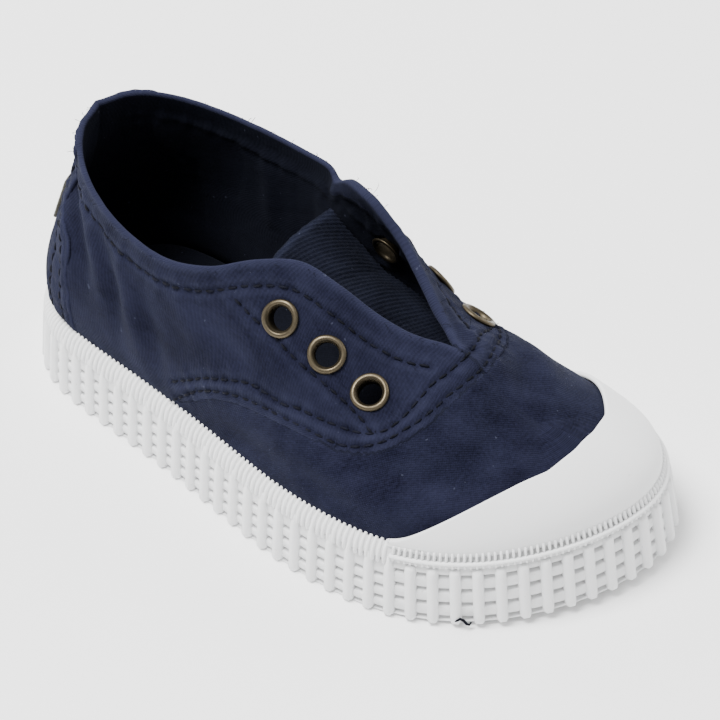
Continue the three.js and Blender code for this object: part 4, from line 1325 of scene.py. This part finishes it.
def makeGore():
    sizes = goreSizes
    turns = np.linspace(sizes["from"], sizes["to"], 60)
    ends = {}
    for side in (-1, 1):
        onward = (turns - sizes["from"]) / (sizes["to"] - sizes["from"])
        reach = turns if side < 0 else turns + sizes["medialReach"] * onward
        heights = np.interp(np.linspace(0, 3, len(turns)), range(4), sizes["up"][side])
        p = upperAt(side, reach, heights)
        n = safeNormal(side, reach, heights)
        ends[side] = p - n * (shoe["canvas"] + shoe["gap"] + sizes["slack"][side])
    t = np.linspace(0, 1, sizes["across"])
    share = np.linspace(0, 1, sizes["rows"])
    left = np.stack([np.interp(share, np.linspace(0, 1, 60), ends[-1][:, k]) for k in range(3)], -1)
    right = np.stack([np.interp(share, np.linspace(0, 1, 60), ends[1][:, k]) for k in range(3)], -1)
    grid = left[:, None] * (1 - t)[None, :, None] + right[:, None] * t[None, :, None]
    grid[..., 2] += sizes["sag"] * np.sin(np.pi * t**0.7)[None] * smooth(share * 1.6)[:, None]
    run, width = lengthAlong(grid, 0), lengthAlong(grid, 1)
    points, faces, first = weld(grid)
    normals = faceNormals(points, faces)
    if normals[:, 2].mean() < 0:
        normals, faces = -normals, [list(reversed(f)) for f in faces]
    run, width = run.ravel()[first], width.ravel()[first]
    ribs = np.sin(run / sizes["ribPitch"] * 2 * np.pi)
    dashes = 0.6 + 0.4 * np.sin(width / 1.5 * 2 * np.pi + np.floor(run / sizes["ribPitch"]) * np.pi)
    ribs = ribs * dashes + 0.5 * noiseAt(points, 1.3, 6.6)
    lift = sizes["ribHeight"] * ribs + 0.3 * noiseAt(points, 7.0, 4.4)
    shareFlat = np.repeat(share[:, None], len(t), 1).ravel()[first]
    # lighter along the top edge from wear, and on the rib crests, where it is painted light on the raised
    # ribs
    worn = 0.9 * smooth((shareFlat - 0.955) / 0.03) + 0.25 * (ribs > 0.6)
    outer, inner = points + normals * lift[:, None], points - normals * sizes["thickness"]
    edge = unit(grid[-1] - grid[-2])
    crown = np.repeat(edge[None], len(share), 0).reshape(-1, 3)[first]
    crown = crown * np.where(shareFlat > 0.999, 0.6, 0)[:, None]
    allPoints, allFaces, _ = shell(outer, inner, faces, crown, 4)
    extra = len(allPoints) - 2 * len(points)
    uv = np.vstack([np.stack([width, run], -1)] * 2 + [np.zeros((extra, 2))])
    worn = np.concatenate([worn, worn * 0, np.full(extra, 1.0)])
    item = makeObject("elastic_gore", allPoints, allFaces, (elasticCloth,), None, uv, {"worn": worn})
    finishPiece(item, "elastic", "gore")
    flat = (float(np.mean([np.linalg.norm(right[k] - left[k]) for k in range(len(share))])) * mm,
            float(np.linalg.norm(np.diff(grid[:, 45], axis=0), axis=1).sum()) * mm)
    return item, flat


elasticGore, goreFlat = makeGore()


# Insole.
insoleSizes = {"inset": 7.4, "low": 8.3, "edge": 10.6, "top": 11.7, "count": 360}


def makeInsole():
    sizes = insoleSizes
    count = sizes["count"]
    levels = [(sizes["inset"] + 1.0, sizes["low"]), (sizes["inset"], sizes["low"] + 0.5),
              (sizes["inset"], sizes["edge"]), (sizes["inset"] + 0.6, sizes["top"] - 0.35),
              (sizes["inset"] + 1.6, sizes["top"]), (sizes["inset"] + 5.0, sizes["top"] - 0.35),
              (sizes["inset"] + 9.0, sizes["top"] - 0.6)]
    rings = [soleRing(np.arange(count) / count, inset, z) for inset, z in levels]
    points, faces = stack(rings, lids=True, around=False)
    uv = points[:, :2].copy()
    item = makeObject("insole_pad", points, faces, (insoleCloth,), None, uv,
                      {"worn": np.full(len(points), 0.1)})
    fixNormals(item)
    finishPiece(item, "insole", "insole")
    return item


insole = makeInsole()


# Heel tag.
tagSizes = {"halfWidth": 0.042, "low": 0.30, "high": 0.60, "flare": 0.8, "thickness": 0.9}


def makeTag():
    sizes = tagSizes
    across, rows = 25, 30
    places = np.linspace(-1, 1, across)
    ups = np.linspace(sizes["low"], sizes["high"], rows)
    grid, ways = np.zeros((across, rows, 3)), np.zeros((across, rows, 3))
    for i, place in enumerate(places):
        side = -1 if place < 0 else 1
        turn = 1 - sizes["halfWidth"] * abs(place)
        base = upperAt(side, turn, ups)
        normal = safeNormal(side, np.full(rows, min(turn, 0.998)), ups)
        cloth, _ = clothLift(np.full(rows, float(side)), np.full(rows, turn), ups, base)
        flare = sizes["flare"] * ((sizes["high"] - ups) / (sizes["high"] - sizes["low"]))**2
        grid[i], ways[i] = base + normal * (cloth + 0.12 + flare * 0.6)[:, None], normal
    points, faces, first = weld(grid)
    normals = ways.reshape(-1, 3)[first]
    check = faceNormals(points, faces)
    if np.sum(check * normals) < 0:
        faces = [list(reversed(f)) for f in faces]
    outer, inner = points + normals * sizes["thickness"], points
    centre = points.mean(0)
    sideways = points - centre
    sideways -= normals * np.sum(sideways * normals, 1)[:, None]
    crown = unit(sideways) * 0.3
    allPoints, allFaces, _ = shell(outer, inner, faces, crown, 4)
    uv = np.stack([allPoints[:, 0], allPoints[:, 2]], -1)
    item = makeObject("heel_tag_patch", allPoints, allFaces, (tagCloth,), None, uv,
                      {"worn": np.zeros(len(allPoints))})
    fixNormals(item)
    finishPiece(item, "label", "heel_tag")
    return item


makeTag()


# Small marks: a dark fleck on the toe rubber, loose threads at the seams and edges.
markSizes = {"hairs": 150, "hairLength": 2.6, "seed": 12, "fleckRadius": 0.34, "fleckAt": 0.1150}


def threadTube(path, radius, sides=5):
    path = np.array(path, float)
    along = unit(np.gradient(path, axis=0))
    side = unit(np.cross(along, [0.13, 0.31, 0.94]))
    other = np.cross(along, side)
    rings = []
    for k, place in enumerate(path):
        size = radius * (0.35 + 0.65 * math.sin(math.pi * (k + 0.6) / (len(path) + 0.2)))
        rings.append([place + size * (math.cos(a) * side[k] + math.sin(a) * other[k])
                      for a in np.arange(sides) * 2 * math.pi / sides])
    return np.vstack(rings), tubeFaces(len(path), sides)


def makeHairs():
    sizes = markSizes
    random = np.random.default_rng(sizes["seed"])
    points, faces, start = [], [], 0

    def add(path, radius):
        nonlocal start
        p, f = threadTube(path, radius)
        points.append(p)
        faces.extend([[v + start for v in face] for face in f])
        start += len(p)

    rows = {side: {"facing": edgeRow(side), "vamp": vampRow, "lower": lowerRow} for side in (-1, 1)}
    for k in range(sizes["hairs"]):
        side = -1 if random.random() < 0.6 else 1
        if k % 2:
            turn, up = 0.34 + 0.66 * random.random(), 0.995
        else:
            keys = rows[side][("facing", "vamp", "lower")[random.integers(3)]]
            turn, up = keys[random.integers(len(keys))]
            up = min(up, 0.99)
        base, normal = onCloth(side, np.array([turn]), np.array([up]))
        base, normal = base[0], normal[0]
        way = unit(random.normal(size=3) + normal * 0.5)
        bend = unit(random.normal(size=3))
        length = sizes["hairLength"] * (0.35 + random.random() ** 2)
        t = np.linspace(0, 1, 6)[:, None]
        path = (base + normal * 0.05 + way * length * t * 0.6 + bend * length * 0.35 * t**2
                + normal * 0.5 * np.sin(t * 3))
        add(path, 0.045 + 0.02 * random.random())
    item = makeObject("loose_threads", np.vstack(points), faces, (navyThread,))
    fixNormals(item)
    finishPiece(item, "canvas")


def makeFleck():
    place, outward = outlineAt(np.array([markSizes["fleckAt"]]), np.array([0.9]))
    place, outward = place[0], outward[0]
    along = np.array([outward[1], -outward[0]])
    z = springAt(np.array([place[1]]))[0]
    path = []
    for a, h, o in ((-1.9, 0.9, 0.3), (-1.5, 0.5, 0.7), (-0.9, 0.9, 0.9), (-0.3, 1.7, 0.7), (0.5, 2.0, 0.5),
                    (1.2, 1.6, 0.6), (1.6, 1.2, 0.5)):
        flat = place + along * a + outward * o
        path.append((flat[0], flat[1], z + h))
    points, faces = threadTube(path, markSizes["fleckRadius"], 7)
    item = makeObject("dark_fleck", points, faces, (navyThread,))
    fixNormals(item)
    finishPiece(item, "canvas")


makeHairs()
makeFleck()


# Floor, lights and camera.
stageSizes = {"azimuth": -47.4503, "elevation": 41.4381, "roll": -3.9925, "distance": 0.70,
              "lens": 155.47, "target": (0.0007153, -0.0107698, 0.030),
              "floorTone": 0.97, "roomLight": 0.85,
              "lamps": (("key", (-0.35, 0.25, 1.25), 0.6, 42.0), ("side", (0.95, -0.55, 0.55), 0.7, 7.0),
                        ("back", (0.3, 1.1, 0.7), 0.8, 8.0))}


def makeStage():
    bpy.ops.mesh.primitive_plane_add(size=6.0, location=(0, 0, -0.0002))
    floor = bpy.context.object
    floor.name = "floor"
    material, _, shader = startMaterial("pale_floor", Roughness=0.85)
    shader.inputs["Base Color"].default_value = (stageSizes["floorTone"],) * 3 + (1,)
    floor.data.materials.append(material)
    world = bpy.data.worlds.new("soft_room")
    bpy.context.scene.world = world
    world.use_nodes = True
    world.node_tree.nodes["Background"].inputs["Color"].default_value = (1.0, 1.0, 1.0, 1)
    world.node_tree.nodes["Background"].inputs["Strength"].default_value = stageSizes["roomLight"]
    for name, place, size, power in stageSizes["lamps"]:
        data = bpy.data.lights.new(name, "AREA")
        data.size = size
        data.energy = power
        lamp = bpy.data.objects.new(name, data)
        bpy.context.scene.collection.objects.link(lamp)
        lamp.location = place
        lamp.rotation_euler = (Vector((0, 0, 0.02)) - Vector(place)).to_track_quat("-Z", "Y").to_euler()


def makeCamera():
    sizes = stageSizes
    a, e, r = (math.radians(sizes[k]) for k in ("azimuth", "elevation", "roll"))
    back = Vector((math.sin(a) * math.cos(e), -math.cos(a) * math.cos(e), math.sin(e)))
    right = Vector((math.cos(a), math.sin(a), 0))
    upward = back.cross(right)
    turnedRight = right * math.cos(r) + upward * math.sin(r)
    turnedUp = -right * math.sin(r) + upward * math.cos(r)
    data = bpy.data.cameras.new("camera")
    data.lens = sizes["lens"]
    data.sensor_width = 36
    data.clip_start = 0.01
    camera = bpy.data.objects.new("camera", data)
    bpy.context.scene.collection.objects.link(camera)
    place = Vector(sizes["target"]) + back * sizes["distance"]
    camera.matrix_world = Matrix(((turnedRight.x, turnedUp.x, back.x, place.x),
                                  (turnedRight.y, turnedUp.y, back.y, place.y),
                                  (turnedRight.z, turnedUp.z, back.z, place.z), (0, 0, 0, 1)))
    bpy.context.scene.camera = camera


makeStage()
makeCamera()
print("stage ready")
